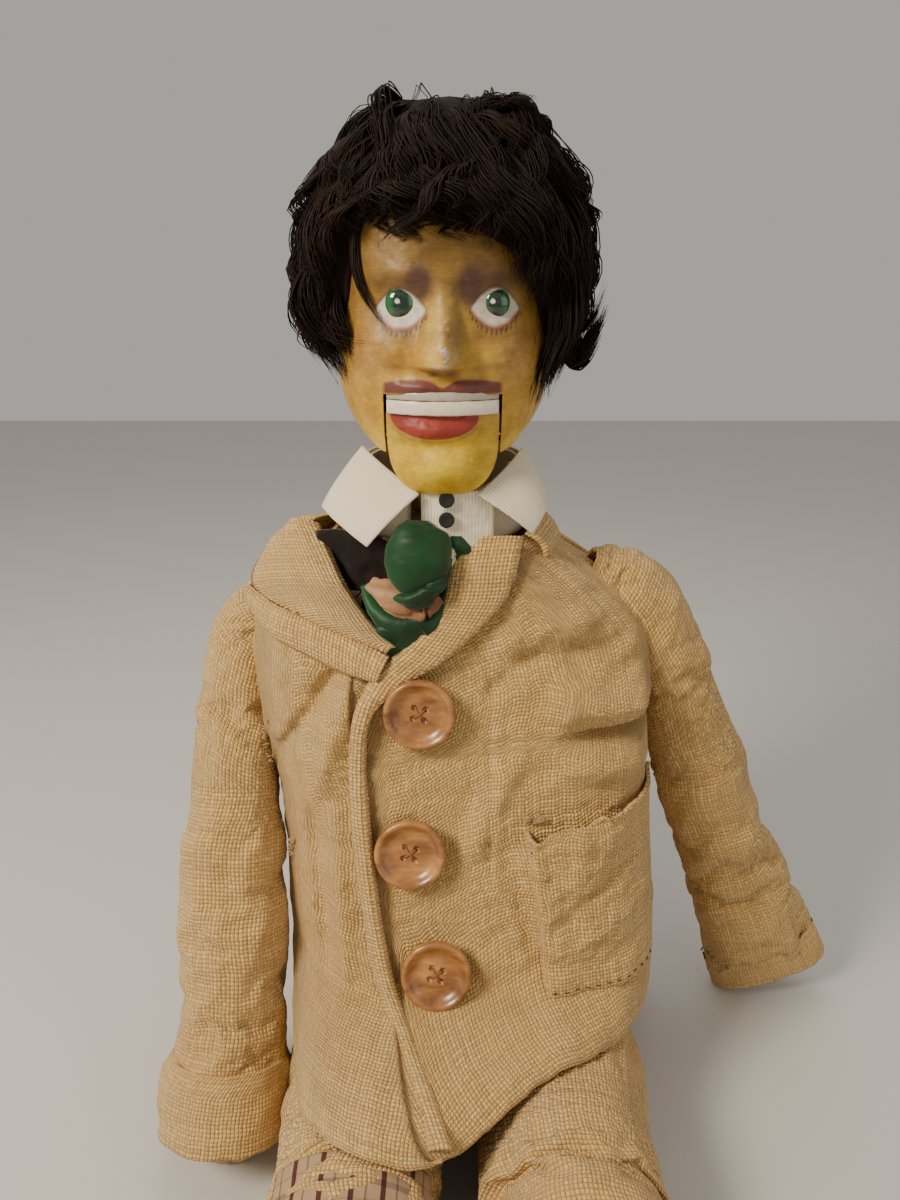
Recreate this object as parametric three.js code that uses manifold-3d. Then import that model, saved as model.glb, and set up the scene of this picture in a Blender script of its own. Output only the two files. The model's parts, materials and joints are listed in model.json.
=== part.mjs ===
// A seated ventriloquist dummy in a buttoned tweed jacket, with a turning and nodding head,
// a jaw worked by a cord and a finger trigger, and loose arms and legs. Millimetres, +Z up.
// The dummy faces -Y, its left hand is on the +X side, and the origin is on the underside
// of the trouser seat, straight below the neck.
import * as THREE from "three";
import { mergeVertices } from "three/addons/utils/BufferGeometryUtils.js";
import Module from "manifold-3d";

const wasm = await Module();
wasm.setup();

const { degToRad, lerp } = THREE.MathUtils;
const X_AXIS = new THREE.Vector3(1, 0, 0);

// ---- Driving dimensions ----
const GAP = 0.4; // clearance between neighbouring pieces

const NECK_PIVOT_Z = 384; // centre of the neck ball
const NECK_BALL_R = 28;
const LINING = 1.6; // leather lining of the neck cup
const NECK_R = 23;
const HEAD_BASE_Z = 452; // flat underside of the head shell
const HEAD_TOP_Z = 622;
const HEAD_WALL = 6;
const HEAD_SQUARENESS = 2.2;
const BACK_DOOR = { half: 34, bottom: 492, top: 572 };
const EYE_Z = 534.5;
const EYES = { right: { x: -24, r: 9.5 }, left: { x: 28.7, r: 8.7 } };
const MOUTH_Z = 487;
const JAW_HALF_WIDTH = 31.8;
const JAW_SLOT_HALF = JAW_HALF_WIDTH + 1.2;
const JAW_AXLE_Z = 505;
const AXLE_R = 2;
const CORD_Y = -15; // the cord pulls the jaw 15 mm ahead of its axle
const STICK_R = 10;
const STICK_BOTTOM_Z = 185;
const STICK_TOP_Z = 391.6; // let into the neck
const TRIGGER_Z = 246;
const TRIGGER_Y = -6; // the trigger's pin, in the headstick
const PIN_R = 1.5;
const SPRING_Y = 19;

const BODY = {
  halfWidth: 70,
  chest: -48, // the front board slants from the chest down to the belly
  belly: -84,
  back: 40,
  bottom: 115,
  top: 352,
  board: 6,
};
const BOARD_TOP_Z = 364; // top of the shoulder board
const BOARD_HALF = 64; // half width of the shoulder board
const HAND_HOLE = { halfWidth: 38, bottom: 150, top: 290 };
const COAT_THICKNESS = 5;
const COAT_HEM_Z = 126;
const COAT_BACK_HEM_Z = 24;
const BUTTON_R = 22;
const HOLE_CIRCLE_R = 4.6; // four thread holes in each coat button
const SEAT = { left: -82, right: 124, front: -8, back: 50, top: 108 };

const SHOULDERS = {
  right: new THREE.Vector3(-136, -10, 322),
  left: new THREE.Vector3(130, -10, 346),
};
const CUFFS = {
  right: new THREE.Vector3(-143, -141, 14),
  left: new THREE.Vector3(262, 15, 22),
};
const ELBOW_AT = 0.47; // share of the way from shoulder to cuff
const SLEEVE_R = { top: 25, elbow: 30, cuff: 38 };
const ARM_R = 7.5; // the wooden core of the upper arm

const HIP_Y = -60;
const KNEE_Y = -238;
const ANKLE_Y = -418;
const SOLE_Y = -490;
const LEG_Z = 52;
const LEGS = { right: { x: -50, r: 46 }, left: { x: 75, r: 50 } };
const SHOE_HEIGHT = 112; // heel to toe; the shoes stand on their heels
const WIG = { depth: 19, crownRise: 14, fringe: 0.35 };

const COLOURS = {
  tweed: 0xb08a4e,
  face: 0xb98f35,
  tooth: 0xe9e2cf,
  hair: 0x1d1310,
  iris: 0x1f5a33,
  horn: 0x8a4b22,
  shirt: 0xe6dcc0,
  silk: 0x0f4a2c,
  wood: 0xb48a55,
  steel: 0x9a9a98,
  leather: 0x4a2c1c,
  sock: 0x3a332e,
  cord: 0x8d8878,
  black: 0x1c1a18,
};

const dummy = new THREE.Group();

// ---- Geometry helpers ----
function vec(x, y, z) {
  return new THREE.Vector3(x, y, z);
}

// Turns the faces out, whichever way round the outline was drawn.
function facingOut(geometry) {
  const points = geometry.getAttribute("position");
  const index = geometry.index.array;
  const [a, b, c] = [vec(), vec(), vec()];
  let volume = 0;
  for (let i = 0; i < index.length; i += 3) {
    a.fromBufferAttribute(points, index[i]);
    b.fromBufferAttribute(points, index[i + 1]);
    c.fromBufferAttribute(points, index[i + 2]);
    volume += a.dot(b.cross(c));
  }
  if (volume < 0) {
    for (let i = 0; i < index.length; i += 3) {
      [index[i + 1], index[i + 2]] = [index[i + 2], index[i + 1]];
    }
  }
  return geometry;
}

function indexed(points, triangles) {
  const geometry = new THREE.BufferGeometry().setFromPoints(points);
  geometry.setIndex(new THREE.BufferAttribute(new Uint32Array(triangles), 1));
  return geometry;
}

// A closed body through rings of equal point counts, with flat end caps.
function loft(rings) {
  const count = rings[0].length;
  const points = rings.flat();
  const triangles = [];
  for (let r = 0; r + 1 < rings.length; r += 1) {
    for (let i = 0; i < count; i += 1) {
      const a = r * count + i;
      const b = r * count + ((i + 1) % count);
      triangles.push(a, b, a + count, b, b + count, a + count);
    }
  }
  const last = (rings.length - 1) * count;
  for (let i = 1; i + 1 < count; i += 1) {
    triangles.push(0, i + 1, i);
    triangles.push(last, last + i, last + i + 1);
  }
  return facingOut(indexed(points, triangles));
}

// A closed sheet between two surfaces, each a function of u and v from 0 to 1.
function sheet(outer, inner, uSteps, vSteps) {
  const points = [];
  const triangles = [];
  const row = vSteps + 1;
  const side = (uSteps + 1) * row;
  for (const surface of [outer, inner]) {
    for (let i = 0; i <= uSteps; i += 1) {
      for (let j = 0; j <= vSteps; j += 1) {
        points.push(surface(i / uSteps, j / vSteps));
      }
    }
  }
  const quad = (a, b, c, d) => triangles.push(a, b, c, a, c, d);
  for (let i = 0; i < uSteps; i += 1) {
    for (let j = 0; j < vSteps; j += 1) {
      const a = i * row + j;
      quad(a, a + row, a + row + 1, a + 1);
      quad(a + side, a + side + 1, a + side + row + 1, a + side + row);
    }
  }
  for (let i = 0; i < uSteps; i += 1) {
    const low = i * row;
    const high = low + vSteps;
    quad(low, low + side, low + side + row, low + row);
    quad(high, high + row, high + row + side, high + side);
  }
  for (let j = 0; j < vSteps; j += 1) {
    const near = j;
    const far = uSteps * row + j;
    quad(near, near + 1, near + 1 + side, near + side);
    quad(far, far + side, far + side + 1, far + 1);
  }
  return facingOut(indexed(points, triangles));
}

function lathe(outline, segments = 24) {
  const geometry = new THREE.LatheGeometry(
    outline.map(([r, z]) => new THREE.Vector2(r, z)),
    segments,
  );
  geometry.rotateX(Math.PI / 2);
  geometry.deleteAttribute("normal");
  geometry.deleteAttribute("uv");
  return facingOut(mergeVertices(geometry, 1e-3));
}

function box(low, high) {
  const size = high.clone().sub(low);
  const geometry = new THREE.BoxGeometry(size.x, size.y, size.z);
  const centre = low.clone().add(high).multiplyScalar(0.5);
  return geometry.translate(centre.x, centre.y, centre.z);
}

// A round rod between two points.
function rod(from, to, radius, segments = 16) {
  const along = to.clone().sub(from);
  const geometry = new THREE.CylinderGeometry(radius, radius, along.length(), segments);
  const turn = new THREE.Quaternion().setFromUnitVectors(vec(0, 1, 0), along.normalize());
  const middle = from.clone().add(to).multiplyScalar(0.5);
  return geometry.applyQuaternion(turn).translate(middle.x, middle.y, middle.z);
}

function toSolid(geometry) {
  const bare = geometry.clone();
  bare.deleteAttribute("normal");
  bare.deleteAttribute("uv");
  const merged = mergeVertices(bare, 1e-3);
  return new wasm.Manifold(
    new wasm.Mesh({
      numProp: 3,
      vertProperties: new Float32Array(merged.getAttribute("position").array),
      triVerts: new Uint32Array(merged.index.array),
    }),
  );
}

function fromSolid(solid) {
  const mesh = solid.getMesh();
  const geometry = new THREE.BufferGeometry();
  geometry.setAttribute("position", new THREE.BufferAttribute(mesh.vertProperties, 3));
  geometry.setIndex(new THREE.BufferAttribute(mesh.triVerts, 1));
  return geometry;
}

function cut(geometry, ...tools) {
  return fromSolid(tools.reduce((left, tool) => left.subtract(toSolid(tool)), toSolid(geometry)));
}

function join(geometry, ...others) {
  return fromSolid(others.reduce((sum, other) => sum.add(toSolid(other)), toSolid(geometry)));
}

function within(geometry, tool) {
  return fromSolid(toSolid(geometry).intersect(toSolid(tool)));
}

function addPiece(name, geometry, color, roughness = 0.85, metalness = 0) {
  const material = new THREE.MeshStandardMaterial({ color, roughness, metalness });
  const flat = geometry.index ? geometry.toNonIndexed() : geometry;
  flat.computeVertexNormals();
  const mesh = new THREE.Mesh(flat, material);
  mesh.name = name;
  dummy.add(mesh);
  return mesh;
}

// A smooth value read from [position, value] pairs in rising order.
function profile(pairs) {
  return (at) => {
    let i = 0;
    while (i + 2 < pairs.length && at > pairs[i + 1][0]) i += 1;
    const [[low, from], [high, to]] = [pairs[i], pairs[i + 1]];
    return lerp(from, to, THREE.MathUtils.clamp((at - low) / (high - low), 0, 1));
  };
}

// A rounded-square ring about a centre; squareness 2 is an ellipse.
function roundedRing(halfX, front, back, squareness, count, place) {
  const ring = [];
  for (let i = 0; i < count; i += 1) {
    const angle = (i / count) * 2 * Math.PI;
    const cos = Math.cos(angle);
    const sin = Math.sin(angle);
    const power = 2 / squareness;
    const x = Math.sign(cos) * Math.abs(cos) ** power * halfX;
    const reach = sin < 0 ? front : back;
    ring.push(place(x, Math.sign(sin) * Math.abs(sin) ** power * reach));
  }
  return ring;
}

// ---- Head ----
const HEAD_OUTLINE = [
  // height, half width, reach to the front, reach to the back
  [HEAD_BASE_Z, 39, 62, 42],
  [468, 47, 70, 52],
  [488, 54, 75, 60],
  [510, 59, 77, 66],
  [535, 61, 75, 70],
  [562, 62, 76, 71],
  [588, 58, 68, 66],
  [606, 46, 52, 52],
  [617, 28, 32, 32],
  [HEAD_TOP_Z, 8, 10, 10],
];

function headSolid(inset) {
  const low = inset > 0 ? HEAD_BASE_Z - 1 : HEAD_BASE_Z;
  const rings = HEAD_OUTLINE.map(([z, half, front, back], i) => {
    const height = i === 0 ? low : z - (z > EYE_Z ? inset : 0);
    const shrink = (reach) => Math.max(reach - inset, 2);
    const place = (x, y) => vec(x, y, height);
    return roundedRing(shrink(half), shrink(front), shrink(back), HEAD_SQUARENESS, 28, place);
  });
  return loft(rings);
}

function makeHeadShell() {
  const nose = loft([
    [vec(-5, -70, 532), vec(5, -70, 532), vec(0, -77, 532)],
    [vec(-10, -70, 508), vec(10, -70, 508), vec(0, -93, 508)],
    [vec(-9, -70, 502), vec(9, -70, 502), vec(0, -88, 500)],
  ]);
  const jawSlot = box(
    vec(-JAW_SLOT_HALF, -120, HEAD_BASE_Z - 20),
    vec(JAW_SLOT_HALF, -24, MOUTH_Z),
  );
  const doorBox = (gap) =>
    box(
      vec(gap - BACK_DOOR.half, 20, BACK_DOOR.bottom + gap),
      vec(BACK_DOOR.half - gap, 90, BACK_DOOR.top - gap),
    );
  const axleHole = rod(vec(-90, 0, JAW_AXLE_Z), vec(90, 0, JAW_AXLE_Z), AXLE_R + GAP, 12);
  const eyeSeats = Object.values(EYES).map(({ x, r }) =>
    rod(vec(x, -60, EYE_Z), vec(x, -90, EYE_Z), r + GAP, 16),
  );
  const skin = join(headSolid(0), nose);
  const shell = cut(skin, headSolid(HEAD_WALL), jawSlot, doorBox(0), axleHole, ...eyeSeats);
  addPiece("head_shell", shell, COLOURS.face, 0.45);
  const wall = cut(headSolid(0), headSolid(HEAD_WALL));
  addPiece("head_back_cover", within(wall, doorBox(GAP + 0.2)), COLOURS.wood, 0.7);
}

function makeEyes() {
  for (const [side, { x, r }] of Object.entries(EYES)) {
    const dome = lathe([
      [0, -7],
      [r - 0.3, -7],
      [r - 0.3, 0],
      [r * 0.72, 2.6],
      [r * 0.38, 4],
      [0, 4.4],
    ]);
    dome.rotateX(Math.PI / 2).translate(x, -71, EYE_Z);
    addPiece("eye_" + side, dome, COLOURS.iris, 0.1);
  }
}

function makeWig() {
  const firstRing = 3; // the hair starts level with the ears
  const outer = HEAD_OUTLINE.slice(firstRing).map(([z, half, front, back], i) => {
    const full = WIG.depth * Math.min(1, 0.5 + i * 0.25);
    const rise = z > 600 ? WIG.crownRise : 0;
    const place = (x, y) => vec(x, y, z + rise);
    const sides = half + full;
    return roundedRing(sides, front + full * WIG.fringe, back + full, HEAD_SQUARENESS, 28, place);
  });
  const faceWindow = box(vec(-60, -140, 480), vec(60, -30, 566));
  const temples = box(vec(-120, -140, 480), vec(120, -36, 545));
  addPiece("wig", cut(loft(outer), headSolid(-GAP), faceWindow, temples), COLOURS.hair, 0.6);
}

function makeNeck() {
  const ballSweep = 2.42; // radians of the ball, from its foot up to the neck
  const ballSteps = 10;
  const flange = { radius: 37, bottom: 446, top: HEAD_BASE_Z - GAP };
  const outline = [[0, NECK_PIVOT_Z - NECK_BALL_R]];
  for (let step = 1; step <= ballSteps; step += 1) {
    const angle = -Math.PI / 2 + (step / ballSteps) * ballSweep;
    outline.push([NECK_BALL_R * Math.cos(angle), NECK_PIVOT_Z + NECK_BALL_R * Math.sin(angle)]);
  }
  outline.push(
    [NECK_R, 410],
    [NECK_R, 441],
    [flange.radius, flange.bottom],
    [flange.radius, flange.top],
    [0, flange.top],
  );
  const jawRoom = box(vec(-JAW_SLOT_HALF, -60, 439), vec(JAW_SLOT_HALF, -25, 470));
  const cordHole = rod(vec(0, CORD_Y, 330), vec(0, CORD_Y, 470), 2.2, 12);
  const stickHole = rod(vec(0, 0, 330), vec(0, 0, STICK_TOP_Z + GAP), STICK_R + 0.3, 20);
  addPiece("neck", cut(lathe(outline, 24), jawRoom, cordHole, stickHole), COLOURS.wood, 0.6);

  const stick = cut(
    rod(vec(0, 0, STICK_BOTTOM_Z), vec(0, 0, STICK_TOP_Z), STICK_R, 20),
    rod(vec(-20, TRIGGER_Y, TRIGGER_Z), vec(20, TRIGGER_Y, TRIGGER_Z), PIN_R + GAP, 10),
    box(vec(-2.4, -14, TRIGGER_Z - 10), vec(2.4, -1.2, TRIGGER_Z + 6)),
  );
  addPiece("headstick", stick, COLOURS.wood, 0.6);
}

// ---- Jaw and its works ----
function makeJaw() {
  const half = JAW_HALF_WIDTH;
  const chinOutline = [
    // height, front, back
    [431, -66, -50],
    [438, -74, -46],
    [452, -76, -60],
    [470, -77, -64],
    [MOUTH_Z - 10, -76, -65],
  ];
  const rings = chinOutline.map(([z, front, back]) => {
    const width = z < 450 ? lerp(18, half, (z - 431) / 19) : half;
    return [
      vec(-width, lerp(front, back, 0.7), z),
      vec(-width * 0.6, front + 2, z),
      vec(width * 0.6, front + 2, z),
      vec(width, lerp(front, back, 0.7), z),
      vec(width * 0.6, back, z),
      vec(-width * 0.6, back, z),
    ];
  });
  const chin = loft(rings);
  const arms = [-1, 1].map((side) => {
    const outline = new THREE.Shape();
    outline.moveTo(-66, 462);
    outline.lineTo(-66, MOUTH_Z - 11);
    outline.lineTo(-8, 512);
    outline.lineTo(24, 512);
    outline.lineTo(24, 500);
    outline.lineTo(-6, 497);
    outline.lineTo(-50, 462);
    const arm = new THREE.ExtrudeGeometry(outline, { depth: 5, bevelEnabled: false });
    arm.rotateX(Math.PI / 2).rotateZ(Math.PI / 2);
    return arm.translate(side * 26 - 2.5, 0, 0);
  });
  const pullBar = rod(vec(-26, CORD_Y, 498.5), vec(26, CORD_Y, 498.5), 3, 10);
  const tailBar = box(vec(-28, 14, 501), vec(28, 24, 507));
  const bore = rod(vec(-50, 0, JAW_AXLE_Z), vec(50, 0, JAW_AXLE_Z), AXLE_R + GAP, 12);
  const jaw = cut(join(chin, ...arms, pullBar, tailBar), bore);
  addPiece("jaw", jaw, COLOURS.face, 0.45);
}

// A bar 4 mm thick that follows the curve of the mouth.
function toothBar(front, lowZ, highZ) {
  const half = 31;
  const bow = 10; // how far the ends stand back from the middle
  const at = (y) => (u, v) =>
    vec(lerp(-half, half, u), y + bow * (2 * u - 1) ** 2, lerp(lowZ, highZ, v));
  return sheet(at(front), at(front + 4), 8, 1);
}

function makeTeeth() {
  addPiece("lower_tooth_bar", toothBar(-76, MOUTH_Z - 9.4, MOUTH_Z - 2), COLOURS.tooth, 0.4);
  const mouthRoom = box(
    vec(-JAW_SLOT_HALF - GAP, -120, HEAD_BASE_Z - 20),
    vec(JAW_SLOT_HALF + GAP, -24, MOUTH_Z - GAP),
  );
  const headWall = cut(headSolid(-GAP), headSolid(HEAD_WALL + GAP), mouthRoom);
  const strip = cut(toothBar(-70, MOUTH_Z - 1.5, MOUTH_Z + 3), headWall);
  addPiece("upper_tooth_strip", strip, COLOURS.tooth, 0.5);
}

function makeJawWorks() {
  const axle = rod(vec(-56, 0, JAW_AXLE_Z), vec(56, 0, JAW_AXLE_Z), AXLE_R, 12);
  addPiece("jaw_axle", axle, COLOURS.steel, 0.35, 0.9);
  const cordBottom = vec(0, CORD_Y, TRIGGER_Z + 6.2);
  const cordTop = vec(0, CORD_Y, 494.6); // just under the jaw's pull bar
  addPiece("jaw_cord", rod(cordBottom, cordTop, 1, 8), COLOURS.cord);
  addPiece("jaw_return_spring", makeSpring(), COLOURS.steel, 0.35, 0.9);

  const outline = new THREE.Shape();
  outline.moveTo(-8.5, -5);
  outline.lineTo(-29, -8);
  outline.lineTo(-31, -2);
  outline.lineTo(-14, 5);
  outline.lineTo(-4, 4);
  outline.absarc(-6, 0, 4, Math.PI / 3, -Math.PI / 2, true);
  const leverShape = { depth: 4, bevelEnabled: false, curveSegments: 6 };
  const lever = new THREE.ExtrudeGeometry(outline, leverShape);
  lever.rotateX(Math.PI / 2).rotateZ(Math.PI / 2).translate(-2, 0, TRIGGER_Z);
  const pin = (half, radius) =>
    rod(vec(-half, TRIGGER_Y, TRIGGER_Z), vec(half, TRIGGER_Y, TRIGGER_Z), radius, 10);
  addPiece("jaw_trigger", cut(lever, pin(9, PIN_R + GAP)), COLOURS.wood, 0.5);
  addPiece("trigger_pin", pin(8, PIN_R), COLOURS.steel, 0.35, 0.9);
  const guideZ = 325;
  const guide = new THREE.TorusGeometry(3.4, 1, 6, 12).translate(0, CORD_Y, guideZ);
  const shank = rod(vec(0, CORD_Y + 3, guideZ), vec(0, -STICK_R - 0.3, guideZ), 0.8, 6);
  addPiece("cord_guide_eye", join(guide, shank), COLOURS.steel, 0.35, 0.9);
}

// The coil behind the axle that pushes the jaw's tail back up.
function makeSpring() {
  const turns = 4;
  const radius = 4;
  const points = 41;
  const path = new THREE.CatmullRomCurve3(
    Array.from({ length: points }, (_, i) => {
      const t = i / (points - 1);
      const angle = t * turns * 2 * Math.PI;
      const height = lerp(HEAD_BASE_Z + 1.6, 499.2, t);
      return vec(radius * Math.cos(angle), SPRING_Y + radius * Math.sin(angle), height);
    }),
  );
  const wire = new THREE.Shape().absarc(0, 0, 0.7, 0, 2 * Math.PI);
  return new THREE.ExtrudeGeometry(wire, { steps: 48, extrudePath: path, curveSegments: 3 });
}

// ---- Body box ----
// A board standing across the body, or a side of it, from its outline of [y, z] corners.
function boardFromOutline(corners, fromX, toX) {
  const outline = new THREE.Shape(corners.map(([y, z]) => new THREE.Vector2(y, z)));
  const board = new THREE.ExtrudeGeometry(outline, { depth: toX - fromX, bevelEnabled: false });
  return board.rotateX(Math.PI / 2).rotateZ(Math.PI / 2).translate(fromX, 0, 0);
}

function makeBodyBox() {
  const { halfWidth, chest, belly, back, bottom, top, board } = BODY;
  const wide = halfWidth - board - GAP;
  const frontCorners = [
    [belly, bottom],
    [belly + board, bottom],
    [chest + board, top],
    [chest, top],
  ];
  addPiece("body_front", boardFromOutline(frontCorners, -wide, wide), COLOURS.wood);
  const backBoard = box(vec(-wide, back - board, bottom), vec(wide, back, top));
  const hole = box(
    vec(-HAND_HOLE.halfWidth, back - 20, HAND_HOLE.bottom),
    vec(HAND_HOLE.halfWidth, back + 20, HAND_HOLE.top),
  );
  addPiece("body_back", cut(backBoard, hole), COLOURS.wood);
  const sideCorners = [
    [belly, bottom],
    [back, bottom],
    [back, top],
    [chest, top],
  ];
  for (const [side, sign] of [["right", -1], ["left", 1]]) {
    const { y, z } = SHOULDERS[side];
    const fromX = sign < 0 ? -halfWidth : halfWidth - board;
    const panel = boardFromOutline(sideCorners, fromX, fromX + board);
    const eyeHole = rod(vec(sign * (halfWidth - 10), y, z), vec(sign * (halfWidth + 10), y, z), 2, 10);
    addPiece("body_side_" + side, cut(panel, eyeHole), COLOURS.wood);
  }
  const neckHole = rod(vec(0, 0, top - 10), vec(0, 0, BOARD_TOP_Z + 10), 24, 28);
  const low = vec(BOARD_HALF * -1, chest + 2, top + GAP);
  const high = vec(BOARD_HALF, back - 2, BOARD_TOP_Z);
  addPiece("shoulder_board", cut(box(low, high), neckHole), COLOURS.wood);
  const seat = box(vec(-halfWidth, belly, SEAT.top + GAP), vec(halfWidth, back, bottom - GAP));
  addPiece("seat_board", seat, COLOURS.wood);
}

function makeNeckCup() {
  const cupR = NECK_BALL_R + LINING + 2 * GAP;
  const low = BOARD_TOP_Z + GAP;
  const arc = (radius, from, to, steps) =>
    Array.from({ length: steps + 1 }, (_, i) => {
      const z = lerp(from, to, i / steps);
      return [Math.sqrt(radius ** 2 - (z - NECK_PIVOT_Z) ** 2), z];
    });
  const seatLow = NECK_PIVOT_Z - 18;
  const inner = arc(cupR, seatLow, NECK_PIVOT_Z, 4);
  const bore = inner[0][0];
  addPiece(
    "neck_cup",
    lathe([...inner, [41, NECK_PIVOT_Z], [41, low], [bore, low], inner[0]], 24),
    COLOURS.wood,
    0.6,
  );
  const lining = arc(NECK_BALL_R + GAP, seatLow + 1, NECK_PIVOT_Z + 1, 4);
  const outside = arc(NECK_BALL_R + GAP + LINING, seatLow + 1, NECK_PIVOT_Z + 1, 4).reverse();
  addPiece("neck_lining", lathe([...lining, ...outside, lining[0]], 24), COLOURS.leather);
}

function makeShoulderEyes() {
  for (const [side, sign] of [["right", -1], ["left", 1]]) {
    const { y, z } = SHOULDERS[side];
    const ring = new THREE.TorusGeometry(4.6, 1.2, 6, 14).translate(sign * 84, y, z);
    const shank = rod(vec(sign * 65, y, z), vec(sign * 79.6, y, z), 1.5, 8);
    addPiece("shoulder_eye_" + side, join(ring, shank), COLOURS.steel, 0.35, 0.9);
  }
}

// ---- Shirt and cravat ----
function makeShirt() {
  const front = (u, v, y) => vec(lerp(-34, 34, u), y + 3 * (2 * u - 1) ** 2, lerp(332, 390, v));
  addPiece(
    "shirt_front",
    sheet((u, v) => front(u, v, -58.9), (u, v) => front(u, v, -56.6), 6, 2),
    COLOURS.shirt,
  );
  const collarTop = profile([[0, 408], [72, 410], [105, 436], [180, 438]]);
  const collarLow = profile([[0, 392], [60, 396], [100, 398], [180, 398]]);
  const fold = (u, v, out) => {
    const opening = lerp(36, 18, v);
    const angle = lerp(opening, 360 - opening, u);
    const fromFront = Math.min(angle, 360 - angle);
    const radius = lerp(fromFront < 50 ? 72 : 60, 47, v) + out;
    const turn = degToRad(angle - 90);
    const z = lerp(collarLow(fromFront), collarTop(fromFront), v);
    return vec(radius * Math.cos(turn), radius * Math.sin(turn), z);
  };
  addPiece(
    "shirt_collar",
    sheet((u, v) => fold(u, v, 2.4), (u, v) => fold(u, v, 0), 30, 2),
    COLOURS.shirt,
  );
  const disc = lathe([[0, 0], [4.5, 0], [4.5, 1.6], [3.2, 2.2], [0, 1.6]], 14);
  disc.rotateX(Math.PI / 2).translate(0, -59.4, 383);
  addPiece("shirt_button", disc, COLOURS.black, 0.4);
}

function makeCravat() {
  const rings = [];
  for (let step = 0; step <= 8; step += 1) {
    const t = step / 8;
    const z = lerp(360, 404, t);
    const bulge = Math.sin(Math.PI * lerp(0.2, 0.9, t));
    rings.push(
      roundedRing(14 * bulge + 2, 6 * bulge + 1, 5 * bulge + 1, 2, 14, (x, y) =>
        vec(x - 14, y - 66, z),
      ),
    );
  }
  addPiece("cravat", loft(rings), COLOURS.silk, 0.35);
}

// ---- Jacket ----
const coatLeft = profile([
  [COAT_BACK_HEM_Z, 150],
  [COAT_HEM_Z, 150],
  [160, 146],
  [210, 136],
  [270, 112],
  [300, 99],
  [340, 97],
  [366, 84],
  [394, 60],
]);
const coatRight = profile([
  [COAT_BACK_HEM_Z, 97],
  [160, 99],
  [270, 99],
  [300, 97],
  [340, 95],
  [366, 84],
  [394, 60],
]);
const coatFront = profile([
  [COAT_HEM_Z, 126],
  [160, 115],
  [210, 102],
  [270, 88],
  [300, 80],
  [340, 71],
  [366, 66],
  [394, 56],
]);
const coatBack = profile([
  [COAT_BACK_HEM_Z, 72],
  [120, 70],
  [300, 66],
  [340, 62],
  [366, 60],
  [394, 56],
]);

const COAT_SQUARENESS = 3.2;

// A point on the jacket: angle 0 faces the front, +90 the left arm; inset goes inwards.
function coatPoint(angle, z, inset) {
  const turn = degToRad(angle - 90);
  const cos = Math.cos(turn);
  const sin = Math.sin(turn);
  const power = 2 / COAT_SQUARENESS;
  const half = (cos > 0 ? coatLeft : coatRight)(z) - inset;
  const reach = (sin > 0 ? coatBack : coatFront)(z) - inset;
  return vec(
    Math.sign(cos) * Math.abs(cos) ** power * half,
    Math.sign(sin) * Math.abs(sin) ** power * reach,
    z,
  );
}

// A jacket panel between two angles; its top edge may change with the angle.
function coatPanel(from, to, lowZ, topZ, uSteps, vSteps, lift = 0, thickness = COAT_THICKNESS) {
  const at = (inset) => (u, v) => {
    const angle = lerp(from, to, u);
    return coatPoint(angle, lerp(lowZ, topZ(angle), v), inset);
  };
  return sheet(at(-lift), at(thickness - lift), uSteps, vSteps);
}

const EDGE_ANGLE = -22; // the left panel's front edge, lapped over the right one
const vTop = profile([
  [-75, 368],
  [-60, 352],
  [-26, 336],
  [0, 345],
  [30, 360],
  [75, 372],
]);
const armholeTop = 280;
const ARMHOLE_ANGLE = 62; // the panels stop at the armholes beyond this angle

function makeJacket() {
  const sideTop = (angle) => (Math.abs(angle) > ARMHOLE_ANGLE ? armholeTop : vTop(angle));
  const frontLeft = coatPanel(EDGE_ANGLE, 94, COAT_HEM_Z, sideTop, 18, 8);
  addPiece("jacket_front_left", frontLeft, COLOURS.tweed);
  const frontRight = coatPanel(-94, EDGE_ANGLE - 1.5, COAT_HEM_Z, sideTop, 12, 8);
  addPiece("jacket_front_right", frontRight, COLOURS.tweed);
  const backTop = (angle) => (Math.abs(angle - 180) > ARMHOLE_ANGLE ? armholeTop : 366);
  const back = coatPanel(95.5, 264.5, COAT_BACK_HEM_Z, backTop, 20, 8);
  const slit = box(
    vec(-HAND_HOLE.halfWidth + 6, 30, HAND_HOLE.bottom + 6),
    vec(HAND_HOLE.halfWidth - 6, 120, HAND_HOLE.top - 6),
  );
  addPiece("jacket_back", cut(back, slit), COLOURS.tweed);
  const collarLow = profile([[62, 367], [298, 367], [335.5, 326]]);
  const collar = (inset) => (u, v) => {
    const angle = lerp(62, 335.5, u);
    const low = collarLow(angle);
    return coatPoint(angle, lerp(low, low + lerp(24, 20, u), v), inset);
  };
  addPiece("jacket_collar", sheet(collar(-4.5), collar(-0.6), 26, 2), COLOURS.tweed);
  const lapelLow = profile([[EDGE_ANGLE, 296], [10, 338], [58, 372]]);
  const lapelTop = profile([[EDGE_ANGLE, 338], [10, 366], [58, 390]]);
  const lapel = (inset) => (u, v) => {
    const angle = lerp(EDGE_ANGLE + 1, 58, u);
    return coatPoint(angle, lerp(lapelLow(angle), lapelTop(angle), v), inset);
  };
  addPiece("lapel_left", sheet(lapel(-4.5), lapel(-0.6), 12, 3), COLOURS.tweed);
  const pocket = coatPanel(46, 84, 130, () => 226, 8, 3, 4.4, 2.4);
  addPiece("jacket_pocket", pocket, COLOURS.tweed);
}

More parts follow.
